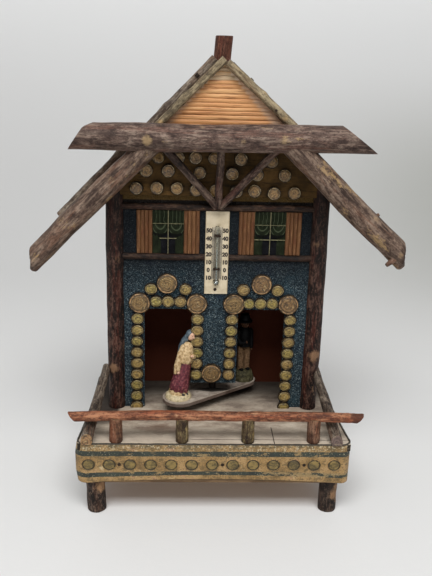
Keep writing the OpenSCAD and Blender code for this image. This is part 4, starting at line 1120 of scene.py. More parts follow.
for side in (-1, 1):
    for way in (-1, 1):
        x = side * door_x + way * (column_off - large_in) - (right_in if side > 0 and way > 0 else 0)
        large.append(large_slice(x, slice_row, large_d))
    large.append(large_slice(side * door_x - mm, slice_row + corner_step + crown_rise, large_d))
pier_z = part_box("large_slices")[0].z + pier_d * large_share / 2
large.append(large_slice(pier_x, pier_z, pier_d))
mount("large_slices_twigs", large, [large_face, slice_rim], "twig_slice", "large_slices")

# Gable
# A dark olive panel fills the gable below the tie log, with three uneven rows of varnished twig
# slices on it. A short upright twig and two slanted ones prop the tie log from the upper moulding.
gable_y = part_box("gable_panel")[0].y
gable_board = Finish("olive_panel", 0.65, Specular_IOR_Level=0.12)
spot = gable_board.place((0.12, 1, 1))
fibres = gable_board.clouds(spot, 1.4 * mm, 5, 0.62)
tones = gable_board.clouds(gable_board.place(), 16 * mm, 6, 0.65)
colour = gable_board.ramp(tones, (0.3, "#2b1f0e"), (0.5, "#4b3619"), (0.7, "#684d28"))
colour = gable_board.tint(colour, "#1d150a", fibres, 0.5, 0.33, 0.7)
colour = gable_board.tint(colour, "#6b4a26", tones, 0.6, 0.68, 0.6)
gable_board.set(Base_Color=colour)
gable_board.relief(fibres, 0.25 * mm)
dress(gable_board, "gable_panel")
gable_d = 9.5 * mm
gable_slope = 0.02
gable_tilt = 0.24
gable_rows = (
    (218.0, (-55.1, -41.4, -28.2, -15.1, -1.8, 11.8, 24.2, 37.4, 51.2)),
    (229.6, (-48.7, -34.1, -13.0, 8.7, 25.4, 44.1)),
    (239.0, (-40.8, -27.6, -16.1, -3.2, 14.3, 34.8)))
gable_face = end_grain(
    "gable_slice_face", "#a67f46", "#241706", "#866334", gloss=0.5, rough=0.15, pale_rim_and_highlight="#cdb686")
buttons = []
for level, places in gable_rows:
    for x in places:
        z = level - gable_slope * x + slice_random.uniform(-0.7, 0.7)
        buttons.append(twig_slice(x * mm, z * mm, gable_d, gable_y, tilt=gable_tilt))
mount("gable_slices_twigs", buttons, [gable_face, slice_rim], "twig_slice", "gable_slices")

tie_low, tie_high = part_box("tie_log")
tie_radius = (tie_high.z - tie_low.z) / 2
tie_at = (tie_low + tie_high) / 2
strut_radius = 2.7 * mm
strut_spread = 41.5 * mm
strut_seat = 1.5 * mm
strut_foot = Vector((0, -4.5 * mm, (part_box("upper_moulding")[0].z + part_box("upper_moulding")[1].z) / 2))
strut_head_y = tie_at.y + tie_radius * 0.4
strut_bark = bark("strut_bark", "#1f1613", "#4a3830", "#7d6a5c", "#8a6a48", "#55332a", bare_from=0.64)
for seed, (side, node) in enumerate(((0, "king_strut"), (-1, "left_strut"), (1, "right_strut"))):
    head = Vector((side * strut_spread, strut_head_y, tie_at.z))
    foot = strut_foot + (head - strut_foot).normalized() * strut_seat
    prop = stick(foot, head, strut_radius * 0.95, 71 + seed, lumps=0.1, bow=0.8 * mm, ring=1.6 * mm)
    mount(node + "_twig", [prop], [strut_bark, sawn_end], "dark_bark", node)

# Roof logs
# A thick log lies across the gable, sawn to a slant at both ends. Two more logs edge the roof below
# it, and two thin weathered twigs run from it up to the ridge. All keep their bark.
tie_cut_left = 13 * mm
tie_cut_right = 25 * mm
tie_past = 2 * mm
tie_lift = 2.2 * mm
tie_lift_least = 0.4 * mm
barge_head = 40 * mm
barge_foot = 133 * mm
barge_line = 297.0 * mm
barge_share = {-1: 0.96, 1: 1.0}
barge_lower = {-1: 1.6 * mm, 1: 0.0}
barge_lift = {-1: 0.0, 1: 5.2 * mm}
barge_bend_from = 60 * mm
barge_bend_run = 62 * mm
barge_bend_power = 1.2
barge_tips = {-1: (122.6 * mm, -0.24, 2.6 * mm), 1: (123.2 * mm, -0.18, 3 * mm)}
right_stubs = (
    ((117, -30, 179.4), (110.6, -32.5, 175.4), 2.6 * mm, 97, 0.25, 0.8 * mm),
    ((101.2, -27, 206.5), (104.2, -27, 208.6), 1.9 * mm, 98, 0.4, 0.6 * mm))
log_bark = bark(
    "tie_log_bark", "#352823", "#665249", "#8f7c6e", "#a88e68", "#6b4a3e", bare_from=0.62, streak=0.6,
    fleck=0.15)
tie_knots = [
    (0.26, (0, -1, -0.1), 4.5 * mm, 0.7 * mm, 0.7), (0.43, (0, -0.5, 1), 5 * mm, 0.4 * mm, 0.4),
    (0.41, (0, -0.8, -1), 4 * mm, 0.3 * mm, 0.4), (0.56, (0, -1, -0.1), 3 * mm, 0.4 * mm, 0.5),
    (0.69, (0, -1, 0), 4.5 * mm, 0.5 * mm, 0.5)]
tie = stick(
    (tie_low.x, tie_at.y, tie_at.z), (tie_high.x + tie_past, tie_at.y, tie_at.z), tie_radius * 0.93, 81,
    lumps=0.07, bow=1.4 * mm, knots=tie_knots, sides=40, ring=1.3 * mm)
saw(tie, (tie_low.x + tie_cut_left / 2 + mm, tie_at.y, tie_at.z), (-2 * tie_radius, 0, tie_cut_left))
saw(tie, (tie_low.x + tie_cut_left + 3 * mm, tie_at.y, tie_high.z - 1.6 * mm), (-0.45, 0, 1))
right_end = (tie_high.x + tie_past - tie_cut_right / 2, tie_at.y, tie_at.z)
saw(tie, right_end, (2 * tie_radius, 0, tie_cut_right))
for vert in tie.verts:
    vert.co.z += max(tie_lift_least, tie_lift * vert.co.x / tie_high.x)
log_end = end_grain("log_end", "#7d6248", "#45342a", "#5c4a3c")
mount("tie_log_bark", [tie], [log_bark, log_end], "dark_bark", "tie_log")

barge_bark = bark(
    "barge_log_bark", "#32251f", "#665246", "#8f7b6b", "#a2865f", "#72503e", bare_from=0.57, streak=0.4,
    fleck=0.15)
for side, node in ((-1, "left_barge_log"), (1, "right_barge_log")):
    low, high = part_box(node)
    y = (low.y + high.y) / 2
    radius = (high.y - low.y) / 2 * barge_share[side]
    line = barge_line - barge_lower[side]
    knots = [
        (0.3, (0, -1, 0.3), 5 * mm, 0.5 * mm, 0.4), (0.62, (side, -1, 0.5), 6 * mm, 0.5 * mm, 0.4),
        (0.85, (0, -1, 0), 5 * mm, 0.6 * mm, 0.4)]
    head, foot = (Vector((side * x, y, line - x)) for x in (barge_head, barge_foot))
    log = stick(
        head, foot, radius * 0.96, 91 + side, lumps=0.08, bow=1.2 * mm, knots=knots, sides=36,
        ring=1.3 * mm)
    tip_x, tip_tilt, tip_ease = barge_tips[side]
    down = Vector((side, 0, -1))
    saw(log, (side * tip_x, y, line - tip_x), (side, 0, tip_tilt), tip_ease, down)
    for vert in log.verts:
        bent = max(0, abs(vert.co.x) - barge_bend_from) / barge_bend_run
        vert.co.z += barge_lift[side] * bent ** barge_bend_power
    limbs = [log]
    for start, end, thick, seed, lumps, ring in right_stubs if side > 0 else ():
        limbs.append(stick(
            Vector(start) * mm, Vector(end) * mm, thick, seed, taper=0.5, lumps=lumps, ring=ring))
    mount(node + "_bark", limbs, [barge_bark, log_end], "dark_bark", node)

gable_twig_bark = bark(
    "gable_twig_bark", "#4a3f30", "#87785e", "#aa9a7c", "#b39468", "#7d6248", bare_from=0.62, fleck=0.3)
gable_twig_run = {-1: (2.4 * mm, 302.1 * mm, 302.3 * mm), 1: (2.7 * mm, 303.2 * mm, 309.3 * mm)}
gable_twig_start = {-1: 0.8 * mm, 1: 2.4 * mm}
gable_twig_reach = 52 * mm
for side, node in ((-1, "left_gable_twig"), (1, "right_gable_twig")):
    low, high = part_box(node)
    y = (low.y + high.y) / 2
    radius, top, foot = gable_twig_run[side]
    start = Vector((gable_twig_start[side], y, top))
    start.z -= side * start.x
    end = (side * gable_twig_reach, y, foot - gable_twig_reach)
    knots = [(0.45, (side, -1, 1), 3 * mm, 0.8 * mm, 0.4), (0.75, (0, -1, 0), 3 * mm, 0.4 * mm, 0.6)]
    twig = stick(
        start, end, radius, 101 + side, lumps=0.12, bow=0.7 * mm, knots=knots, ring=1.2 * mm)
    mount(node + "_bark", [twig], [gable_twig_bark, sawn_end], "grey_twig", node)

# Attic panel
# Split peeled reeds are glued level, one above another, on a board that closes the top of the gable.
# They have aged orange, the uppermost ones pale.
attic_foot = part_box("attic_panel")[0].z
roof_under = 299.43 * mm
reed_count = 20
reed_heights = (2.2, 3.2)
reed_evening = 0.35
pale_reach = 9.5 * mm
reed_over = {-1: 3 * mm, 1: 7 * mm}
attic_board = old_board("attic_board", "#4a2c16", "#7a4d28", "#8f6238", "#5c3a20")
dress(attic_board, "attic_panel")
attic_reed = Finish("peeled_reed", 0.6)
fibres = attic_reed.clouds(attic_reed.place((1, 1, 0.05), grain=True), 0.8 * mm, 5, 0.62)
tones = attic_reed.clouds(attic_reed.place((1, 1, 0.12), grain=True), 4 * mm, 6, 0.66)
colour = attic_reed.tint("#c48c58", "#c0a684", attic_reed.value("tone"), 0.6, 0.9)
colour = attic_reed.tint(colour, "#cd9c68", tones, 0.52, 0.64)
colour = attic_reed.tint(colour, "#a8703f", tones, 0.46, 0.36)
colour = attic_reed.tint(colour, "#7d4d2a", fibres, 0.46, 0.36, 0.75)
ends = attic_reed.size_of(attic_reed.value("rim"))
colour = attic_reed.tint(colour, "#dcc8b4", ends, 0.82, 0.98, 0.4)
attic_reed.set(Base_Color=colour)
attic_reed.relief(fibres, 0.2 * mm)
reed_random = random.Random(11)
reed_back = -17.1 * mm
reed_thickness = 0.75 * mm
reed_past = {-1: 0.0, 1: 4.0 * mm}
wedge_reed = 3
wedge_x = 21 * mm
wedge_run = 7 * mm
wedge_pinch = 0.45
reeds = []
left_edge = right_edge = attic_foot
for k in range(reed_count):
    left_top = left_edge + reed_random.uniform(*reed_heights) * mm
    right_top = right_edge + reed_random.uniform(*reed_heights) * mm
    left_top += reed_evening * (right_top - left_top)
    right_top += reed_evening * (left_top - right_top)
    middle = (left_edge + right_edge + left_top + right_top) / 4
    reach = roof_under - middle
    tone = 0.95 if reach < pale_reach else reed_random.uniform(0.1, 0.55)
    if reach > -1 * mm:
        low_z, high_z = (left_edge + left_top) / 2, (right_edge + right_top) / 2
        half = (left_top + right_top - left_edge - right_edge) / 4
        reed = stick(
            (-reach - reed_over[-1], 0, low_z), (reach + reed_over[1], 0, high_z), half * 1.1, 111 + k,
            tone, lumps=0.1, bow=0.5 * mm, sides=14, ring=1.6 * mm)
        rims = reed.verts.layers.float.new("rim")
        for vert in reed.verts:
            vert[rims] = vert.co.x / max(reach, 4 * mm)
            if k == wedge_reed:
                near = math.exp(-((vert.co.x - wedge_x) / wedge_run) ** 2)
                vert.co.z += (middle + 1.2 * half - vert.co.z) * wedge_pinch * near
        saw(reed, (0, 0, 0), (0, 1, 0))
        flat = Matrix.Translation((0, reed_back, 0)) @ Matrix.Diagonal((1, reed_thickness / half, 1, 1))
        reed.transform(flat)
        for side in (-1, 1):
            saw(reed, (0, 0, roof_under + reed_past[side]), (side, 0, 1))
        reeds.append(reed)
    left_edge, right_edge = left_top, right_top
mount("attic_reeds_split", reeds, [attic_reed, attic_reed], "reed", "attic_reeds")

# Roof
# Thin boards make the two slopes, grey with weather. A twig is nailed along the front edge of each
# slope, and square iron nails hold it. The chimney's bore is drilled through the ridge.
plank_width = 29 * mm
roof_top = 302.6 * mm
ridge_over = 8 * mm
ridge_gap = 0.02 * mm
bore_play = 0.3 * mm
roof_finish = old_board(
    "grey_roof", "#5f5850", "#7d7569", "#978e80", "#857562", grain=(1, 0.06, 1), stained=0.58)
spot = roof_finish.place()
slope = roof_finish.size_of(roof_finish.axis(spot, "X"))
plank = roof_finish.sums("FRACT", roof_finish.sums("DIVIDE", slope, plank_width))
gap = roof_finish.mask(roof_finish.size_of(roof_finish.minus(plank, 0.5)), 0.012, 0.004)
under = roof_finish.axis(roof_finish.add("NewGeometry", {}).outputs["Normal"], "Z")
colour = roof_finish.mix(roof_finish.colour, "#2a241f", gap)
roof_finish.set(Base_Color=roof_finish.tint(colour, "#3a2e24", under, -0.3, -0.5))
roof_finish.relief(roof_finish.minus(1.0, gap), 0.6 * mm)
roof_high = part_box("right_roof_board")[1]
roof_front = reed_back
roof_thickness = (roof_top - roof_under) / math.sqrt(2)
chimney_low, chimney_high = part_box("chimney")
chimney_radius = (chimney_high.y - chimney_low.y) / 2
chimney_at = (chimney_low + chimney_high) / 2
bore_radius = chimney_radius + bore_play
bore = bmesh.new()
bmesh.ops.create_cone(
    bore, cap_ends=True, segments=48, radius1=bore_radius, radius2=bore_radius, depth=80 * mm,
    matrix=Matrix.Translation((chimney_at.x, chimney_at.y, roof_top)))
drill_mesh = bpy.data.meshes.new("drill")
bore.to_mesh(drill_mesh)
bore.free()
drill = add_object("drill", drill_mesh)
for side, node in ((-1, "left_roof_board"), (1, "right_roof_board")):
    run = roof_high.x * math.sqrt(2)
    slope = board((0, roof_front, -roof_thickness), (run + ridge_over, roof_high.y, 0), 0.3 * mm)
    bmesh.ops.translate(slope, vec=(-ridge_over, 0, 0), verts=slope.verts)
    slope.transform(Matrix.Translation((0, 0, roof_top)) @ Matrix.Rotation(math.pi / 4, 4, "Y"))
    saw(slope, (ridge_gap, 0, 0), (-1, 0, 0))
    if side < 0:
        bmesh.ops.scale(slope, vec=(-1, 1, 1), verts=slope.verts)
        bmesh.ops.reverse_faces(slope, faces=slope.faces)
    for face in slope.faces:
        face.material_index = 0
    piece = mount(node + "_planks", [slope], [roof_finish], "weathered_board", node, sharp=30)
    cut = piece.modifiers.new("chimney_bore", "BOOLEAN")
    cut.object = drill
    cut.operation = "DIFFERENCE"
    cut.solver = "EXACT"
    bpy.context.view_layer.update()
    bored = bpy.data.meshes.new_from_object(piece.evaluated_get(bpy.context.evaluated_depsgraph_get()))
    piece.modifiers.remove(cut)
    plain = piece.data
    piece.data = bored
    bpy.data.meshes.remove(plain)
bpy.data.objects.remove(drill)
bpy.data.meshes.remove(drill_mesh)

verge_run = {
    -1: (2.6 * mm, 5.0 * mm, 308.0 * mm, 306.2 * mm),
    1: (2.3 * mm, 5.2 * mm, 304.8 * mm, 305.2 * mm)}
verge_y = -14.8 * mm
verge_reach = {-1: 105 * mm, 1: 103 * mm}
verge_bark = bark(
    "verge_bark", "#382c25", "#6f6153", "#978a7b", "#a38c70", "#6b5140", bare_from=0.64, fleck=0.3)
verges = []
for side in (-1, 1):
    radius, start, top, foot = verge_run[side]
    reach = verge_reach[side]
    knots = [(0.3, (side, -1, 1), 3 * mm, 0.6 * mm, 0.4), (0.6, (side, 0, 1), 4 * mm, 0.6 * mm, 0.4)]
    verges.append(stick(
        (side * start, verge_y, top - start), (side * reach, verge_y, foot - reach), radius, 131 + side,
        lumps=0.14, bow=0.8 * mm, knots=knots, ring=1.4 * mm))
mount("verge_twigs_bark", verges, [verge_bark, grey_end], "grey_twig", "verge_twigs")

rust = Finish("dark_iron", 0.6, Metallic=0.7)
spread = rust.clouds(rust.place(), 0.8 * mm)
rust.set(Base_Color=rust.ramp(spread, (0.35, "#17120f"), (0.6, "#3a2c22"), (0.75, "#5a4130")))
rust.relief(spread, 0.1 * mm)
nail_places = ((-16.2, -17.2, 308.6, 2.6), (17.8, -17.4, 308.1, 2.4), (33.6, -24.0, 306.3, 1.4))
nails = []
for x, y, line, size in nail_places:
    half = size / 2
    head = board(Vector((-half, -0.8, -half)) * mm, Vector((half, 1.6, half)) * mm, 0.25 * mm)
    place = Matrix.Translation((x * mm, y * mm, (line - abs(x)) * mm))
    head.transform(place @ Matrix.Rotation(math.copysign(math.pi / 4, x), 4, "Y"))
    nails.append(head)
mount("roof_nails", nails, [rust], "dark_wire")

# Thermometer
# A small card-thin wooden plate painted cream hangs between the windows. It carries two printed
# columns of degrees, a ruled ladder, and a glass tube held by two bent wires. Domed tacks hold the
# plate and the paper band.
plate_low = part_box("scale_plate")[0]
plate_face = plate_low.y
cream = Finish("scale_cream", 0.5, Specular_IOR_Level=0.4)
spot = cream.place()
age = cream.clouds(spot, 9 * mm, 6, 0.65)
specks = cream.clouds(spot, 0.8 * mm, 4, 0.6)
colour = cream.ramp(age, (0.3, "#ad9c7e"), (0.5, "#cbbc9f"), (0.7, "#d8cab0"))
colour = cream.tint(colour, "#a88a64", specks, 0.62, 0.78, 0.5)
edge = cream.size_of(cream.axis(spot, "X"))
colour = cream.tint(colour, "#9a8464", edge, 7.2 * mm, 8.1 * mm, 0.5)
cream.set(Base_Color=colour)
cream.relief(specks, 0.05 * mm)
dress(cream, "scale_plate")
ink = Finish("brown_ink", 0.7)
fade = ink.clouds(ink.place(), 0.7 * mm)
ink.set(Base_Color=ink.ramp(fade, (0.3, "#120d0a"), (0.6, "#2a2019"), (0.8, "#5a4a3a")))
degrees = ("50", "40", "30", "20", "10", "0", "10")
degree_top = 189.5 * mm
degree_step = 5.65 * mm
degree_off = 5.7 * mm
digit_size = 3.9 * mm
ladder_half = 3.4 * mm
tube_half = 1.5 * mm
short_share = 0.86
ladder_top = degree_top + 2.5 * mm
ladder_foot = degree_top - (len(degrees) - 1) * degree_step - mm
ten_line = 0.3 * mm
degree_line = 0.2 * mm
rule_line = 0.28 * mm
ink_lift = 0.04 * mm


def printed(text, x, z):
    """Flat printed figures on the plate, centred on a place."""
    line = bpy.data.curves.new("digits", "FONT")
    line.body = text
    line.size = digit_size
    line.align_x = "CENTER"
    line.align_y = "CENTER"
    line.extrude = ink_lift
    line.offset = 0.24 * mm
    holder = bpy.data.objects.new("digits", line)
    bpy.context.scene.collection.objects.link(holder)
    bpy.context.view_layer.update()
    flat = bpy.data.meshes.new_from_object(holder.evaluated_get(bpy.context.evaluated_depsgraph_get()))
    bpy.data.objects.remove(holder)
    bpy.data.curves.remove(line)
    form = bmesh.new()
    form.from_mesh(flat)
    bpy.data.meshes.remove(flat)
    form.transform(Matrix.Translation((x, plate_face, z)) @ Matrix.Rotation(math.pi / 2, 4, "X"))
    return form


def ruled(x, z, width, height):
    """A printed line on the plate, centred on a place."""
    form = bmesh.new()
    size = Matrix.Diagonal((width, 2 * ink_lift, height, 1))
    bmesh.ops.create_cube(form, size=1, matrix=Matrix.Translation((x, plate_face, z)) @ size)
    return form


marks = []
for k, text in enumerate(degrees):
    z = degree_top - k * degree_step
    for side in (-1, 1):
        marks.append(printed(text, side * degree_off, z))
        for tenth in range(10 if k < len(degrees) - 1 else 1):
            at = z - tenth * degree_step / 10
            outer, line = ladder_half, ten_line
            if tenth:
                outer, line = ladder_half * short_share, degree_line
            x0, x1 = sorted((side * tube_half, side * outer))
            marks.append(ruled((x0 + x1) / 2, at, x1 - x0, line))
for x in (-ladder_half, -tube_half - 0.15 * mm, tube_half + 0.15 * mm, ladder_half):
    marks.append(ruled(x, (ladder_top + ladder_foot) / 2, rule_line, ladder_top - ladder_foot))
mount("scale_print", marks, [ink], "scale_cream")
grey_field = Finish("grey_field", 0.6)
fade = grey_field.clouds(grey_field.place((1, 1, 0.3)), 1.2 * mm)
grey_field.set(Base_Color=grey_field.ramp(fade, (0.3, "#958b79"), (0.6, "#b3a893"), (0.8, "#c2b8a2")))
field = board(
    (-ladder_half, plate_face - 0.02 * mm, ladder_foot), (ladder_half, plate_face, ladder_top), 0.005 * mm)
mount("scale_field", [field], [grey_field], "scale_cream")

glass = Finish("tube_glass", 0.06, IOR=1.47, Transmission_Weight=1.0)
smear = glass.clouds(glass.place((1, 1, 0.2)), 2 * mm)
glass.set(Base_Color=glass.ramp(smear, (0.3, "#d9dcd4"), (0.7, "#f4f6f2")))
dress(glass, "glass_tube")
quicksilver = Finish("quicksilver", 0.18, Metallic=1.0)
sheen = quicksilver.clouds(quicksilver.place(), 1.5 * mm)
quicksilver.set(Base_Color=quicksilver.ramp(sheen, (0.3, "#7c7f82"), (0.7, "#b4b7ba")))
dress(quicksilver, "mercury")
clip_low, clip_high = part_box("tube_clips")
clip_half = 2.3 * mm
wire_half = 0.6 * mm
clips = []
for z in (clip_low.z + 0.5 * mm, clip_high.z - 0.5 * mm):
    clips.append(board(
        (-clip_half, clip_low.y, z - wire_half), (clip_half, plate_face, z + wire_half), 0.3 * mm))
mount("clip_wires", clips, [rust], "dark_wire", "tube_clips")
tack_radius = 1.15 * mm
tack_spots = [(x * mm, band_low.y + 0.35 * mm, roundel_level) for x in (-64.3, 5.3, 60.9)]
tack_spots.append((-0.6 * mm, plate_face, plate_low.z + 3.2 * mm))
tacks = []
for seed, at in enumerate(tack_spots):
    tack = bmesh.new()
    bmesh.ops.create_icosphere(tack, subdivisions=3, radius=tack_radius)
    for vert in tack.verts:
        vert.co *= 1 + 0.08 * noise.noise(vert.co / mm + Vector((seed * 4, 0, 0)))
    tack.transform(Matrix.Translation(at) @ Matrix.Diagonal((1, 0.5, 1, 1)))
    tacks.append(tack)
mount("tack_heads", tacks, [rust], "dark_wire", "tacks")

# Chimney and spindle
# The chimney is a short red-stained dowel that can be turned. Its spindle runs down through the
# ridge beam and holds the twisted gut, so turning it sets the two figures.
red_stain = bark(
    "red_stain", "#2e1710", "#5c3729", "#785040", "#a8845a", "#6b3a2b", bare_from=0.76, streak=0.9,
    depth=0.15 * mm)
chimney_share = 0.93
chimney_off = 0.5 * mm
chimney_lean = 1.1 * mm
dowel = stick(
    (chimney_at.x, chimney_at.y, chimney_low.z), (chimney_at.x, chimney_at.y, chimney_high.z),
    chimney_radius * chimney_share, 141, lumps=0.012, sides=36, ring=1.2 * mm)
for vert in dowel.verts:
    above = max(0, (vert.co.z - roof_top) / (chimney_high.z - roof_top))
    vert.co.x += chimney_off + chimney_lean * above
mount("chimney_dowel", [dowel], [red_stain, red_stain], "turned_wood", "chimney", body="chimney_peg")
turned_wood = old_board("turned_wood", "#5c4428", "#8a6a44", "#a98a5e", "#6d5234", grain=(1, 1, 0.08))
dress(turned_wood, "spindle")
# The stem is painted near-black: partly its own dark wood and partly painted shadow under the pier.
shaded_dark_stem = old_board("shaded_dark_stem", "#0f0b09", "#231a14", "#3a2d24", "#1a120d", grain=(1, 1, 0.08))
dress(shaded_dark_stem, "stem")
gut = Finish("twisted_gut", 0.4, Coat_Weight=0.3)
inputs = {"Vector": gut.place((1, 1, 0.7)), "Scale": 400.0}
twist = gut.add("TexWave", inputs, bands_direction="DIAGONAL").outputs["Fac"]
gut.set(Base_Color=gut.ramp(twist, (0.2, "#8a6a3a"), (0.8, "#cbb07a")))
gut.relief(twist, 0.1 * mm)
dress(gut, "gut")

# Turntable
# A flat wooden bar with one wide and one narrow round end hangs on the gut and swings with the
# damp. Its sides are dark and a pale line runs along its upper edge. Both figures are glued to its ends.
pivot_y = 7.5 * mm
pivot_shade = (23 * mm, 18 * mm)
bar_finish = old_board(
    "turntable_wood", "#5b4d42", "#8f8377", "#b3a799", "#a8988a", grain=(0.25, 0.4, 1), stained=0.56)
table_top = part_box("turntable_board")[1].z
spot = bar_finish.place()
along_x, along_y, along_z = (bar_finish.axis(spot, way) for way in "XYZ")
# A painted shadow darkens the bar round the pivot, where the pier shades it.
off_pivot = bar_finish.times(bar_finish.size_of(bar_finish.minus(along_y, pivot_y)), 4.0)
off_pivot = bar_finish.plus(off_pivot, bar_finish.size_of(along_x))
off_pivot = bar_finish.plus(off_pivot, bar_finish.times(bar_finish.clouds(spot, 5 * mm), 8 * mm))
colour = bar_finish.tint(bar_finish.colour, "#1a1512", off_pivot, *pivot_shade, 0.9)
colour = bar_finish.tint(colour, "#54433a", along_z, table_top - 0.15 * mm, table_top - 0.5 * mm, 0.8)
lip = bar_finish.size_of(bar_finish.minus(along_z, table_top - 0.35 * mm))
bar_finish.set(Base_Color=bar_finish.tint(colour, "#b3a596", lip, 0.35 * mm, 0.2 * mm, 0.8))
dress(bar_finish, "turntable_board")

# Woman
# The fair-weather figure is modelled in hard paste and painted: a blue-grey headscarf, a cream shawl
# with one arm hanging, a wine-red skirt with a pale hem, on a mound of cream ground.
woman_at = Vector((-25.3, -4.6, 66)) * mm
woman_turn = math.radians(48)
woman_lean = Matrix.Rotation(math.radians(10.3), 4, "Y") @ Matrix.Rotation(math.radians(-5), 4, "X")
ground_rise = 4 * mm


def gesso(name, main, worn, deep, size=2 * mm, glaze=0.15):
    """Old paint on paste: uneven colour, darker in the hollows, chipped to the ground in places."""
    finish = Finish(name, 0.55, Coat_Weight=glaze, Coat_Roughness=0.4, Specular_IOR_Level=0.1 + 2 * glaze)
    spot = finish.place()
    tones = finish.clouds(spot, size, 6, 0.68)
    chips = finish.clouds(spot, 1.1 * mm, 5, 0.7)
    colour = finish.ramp(tones, (0.34, deep), (0.52, main), (0.72, worn))
    colour = finish.tint(colour, worn, chips, 0.63, 0.7)
    finish.set(Base_Color=colour)
    finish.relief(tones, 0.25 * mm)
    return finish


def turned(profile, steps=36):
    """Turn an outline of radius and height points into a round form."""
    form = bmesh.new()
    points = [form.verts.new((radius * mm, 0, height * mm)) for radius, height in profile]
    lines = [form.edges.new(pair) for pair in zip(points, points[1:])]
    bmesh.ops.spin(
        form, geom=points + lines, cent=(0, 0, 0), axis=(0, 0, 1), angle=math.tau, steps=steps,
        use_merge=True)
    bmesh.ops.remove_doubles(form, verts=form.verts[:], dist=0.001 * mm)
    bmesh.ops.recalc_face_normals(form, faces=form.faces[:])
    return form


def limb(points, radii, index, sides=14):
    """A jointed limb: round stretches between points, swelling and narrowing as given."""
    form = bmesh.new()
    spots = [Vector(point) * mm for point in points]
    for (a, ra), (b, rb) in zip(zip(spots, radii), zip(spots[1:], radii[1:])):
        turn = (b - a).to_track_quat("Z", "X").to_matrix().to_4x4()
        place = Matrix.Translation((a + b) / 2) @ turn
        bmesh.ops.create_cone(
            form, cap_ends=True, segments=sides, radius1=ra * mm, radius2=rb * mm, depth=(b - a).length,
            matrix=place)
    for spot, radius in zip(spots, radii):
        bmesh.ops.create_uvsphere(
            form, u_segments=sides, v_segments=8, radius=radius * mm, matrix=Matrix.Translation(spot))
    for face in form.faces:
        face.material_index = index
    return form


def ball(at, size, index, detail=20):
    """An egg-shaped mass with its own width, depth and height."""
    form = bmesh.new()
    place = Matrix.Translation(Vector(at) * mm) @ Matrix.Diagonal((*(part * mm / 2 for part in size), 1))
    bmesh.ops.create_uvsphere(form, u_segments=detail, v_segments=detail // 2 + 2, radius=1, matrix=place)
    for face in form.faces:
        face.material_index = index
    return form


def folded(form, index, folds, deep, low, high, seed):
    """Press folds into a round garment, deepest at its lower edge."""
    for face in form.faces:
        face.material_index = index
    for vert in form.verts:
        share = 1 - min(1, max(0, (vert.co.z / mm - low) / (high - low)))
        around = math.atan2(vert.co.y, vert.co.x)
        wave = math.cos(folds * around + 1.3 * noise.noise(Vector((around, vert.co.z / mm * 0.1, seed))))
        swell = 1 + deep * share * wave
        vert.co.x *= swell
        vert.co.y *= swell
    return form


def mound(radius, index, seed, rise=1.0):
    """The rough ground that a figure stands on."""
    form = turned(
        [(0, 0), (radius, 0), (radius, 0.8), (radius * 0.93, 2.2), (radius * 0.8, 3.5), (0, 4.3)], 40)
    for face in form.faces:
        face.material_index = index
    for vert in form.verts:
        if vert.co.z > 0.4 * mm:
            rough = noise.noise(vert.co / (2.6 * mm) + Vector((seed, 0, 0)))
            vert.co += Vector((vert.co.x, vert.co.y, 0)) * 0.05 * rough + Vector((0, 0, 0.35 * mm * rough))
        vert.co.z *= rise
    return form


woman_paints = [
    gesso("cream_ground", "#c4b28c", "#d8caa8", "#8d8468"),
    gesso("wine_skirt", "#64222f", "#a8706a", "#2e0f16", 1.6 * mm),
    gesso("cream_shawl", "#c7aa7e", "#e0cba6", "#83653c", 1.8 * mm),
    gesso("blue_scarf", "#4a5862", "#7f8a8e", "#232c33"),
    gesso("pink_skin", "#d3a88c", "#e2c3aa", "#a8775c"),
    gesso("black_paint", "#1d1a19", "#3c3733", "#0c0b0b"),
]
ground, skirt, shawl, scarf, skin, black = range(len(woman_paints))
figure = [
    folded(turned([(0, -2.4), (6.4, -2.4), (6.9, 0.2), (6.5, 1.6)]), shawl, 11, 0.03, -2.4, 20, 1.0),
    folded(
        turned([(6.4, 1.0), (6.8, 1.4), (6.4, 6), (5.9, 11), (5.4, 16), (5.0, 21), (4.6, 25), (0, 25.5)]),
        skirt, 9, 0.08, 2, 24, 2.0),
    folded(
        turned([
            (4.8, 22.6), (5.4, 23.4), (5.5, 26), (5.3, 29.5), (4.8, 32.5), (3.7, 35.6), (2.2, 37.8),
            (0, 38.2)]),
        shawl, 7, 0.05, 23, 38, 3.0),
    ball((0.2, -1.0, 43.0), (5.0, 5.4, 6.6), skin),
    ball((0, 0.3, 43.8), (5.5, 5.9, 7.3), scarf),
    limb(
        [(0, 1.4, 42.2), (-0.8, 3.2, 38.4), (-1.6, 4.3, 33.5), (-2.0, 4.7, 28.5)],
        (2.4, 2.4, 2.2, 1.2), scarf),
    limb([(0.2, -3.5, 43.0), (0.2, -4.0, 42.3)], (0.45, 0.5), skin, 10),
    limb(
        [(-4.2, 0.6, 34.4), (-5.4, 1.0, 28.5), (-5.8, 0.6, 23), (-5.6, -0.2, 17.5)],
        (2.0, 2.2, 2.1, 1.6), shawl),
    limb([(-5.2, 1.6, 26), (-5.7, 1.8, 20), (-6.0, 1.5, 14.5)], (1.9, 2.0, 1.1), shawl),
    ball((-5.5, -0.9, 15.6), (2.1, 2.3, 2.9), skin),
    limb(
        [(4.2, 0.2, 34.4), (5.3, -1.2, 29.0), (3.6, -4.6, 28.0), (0.6, -5.9, 29.0)],
        (2.0, 2.1, 1.8, 1.5), shawl),
    ball((-0.5, -6.2, 29.3), (2.3, 2.0, 2.0), skin),
    ball((1.8, -6.0, 0.0), (2.6, 4.0, 2.2), black),
    ball((-1.9, -5.8, 0.0), (2.6, 4.0, 2.2), black),
    ball((-0.9, -3.35, 43.7), (0.6, 0.4, 0.55), black, 10),
    ball((1.3, -3.35, 43.7), (0.6, 0.4, 0.55), black, 10),
]
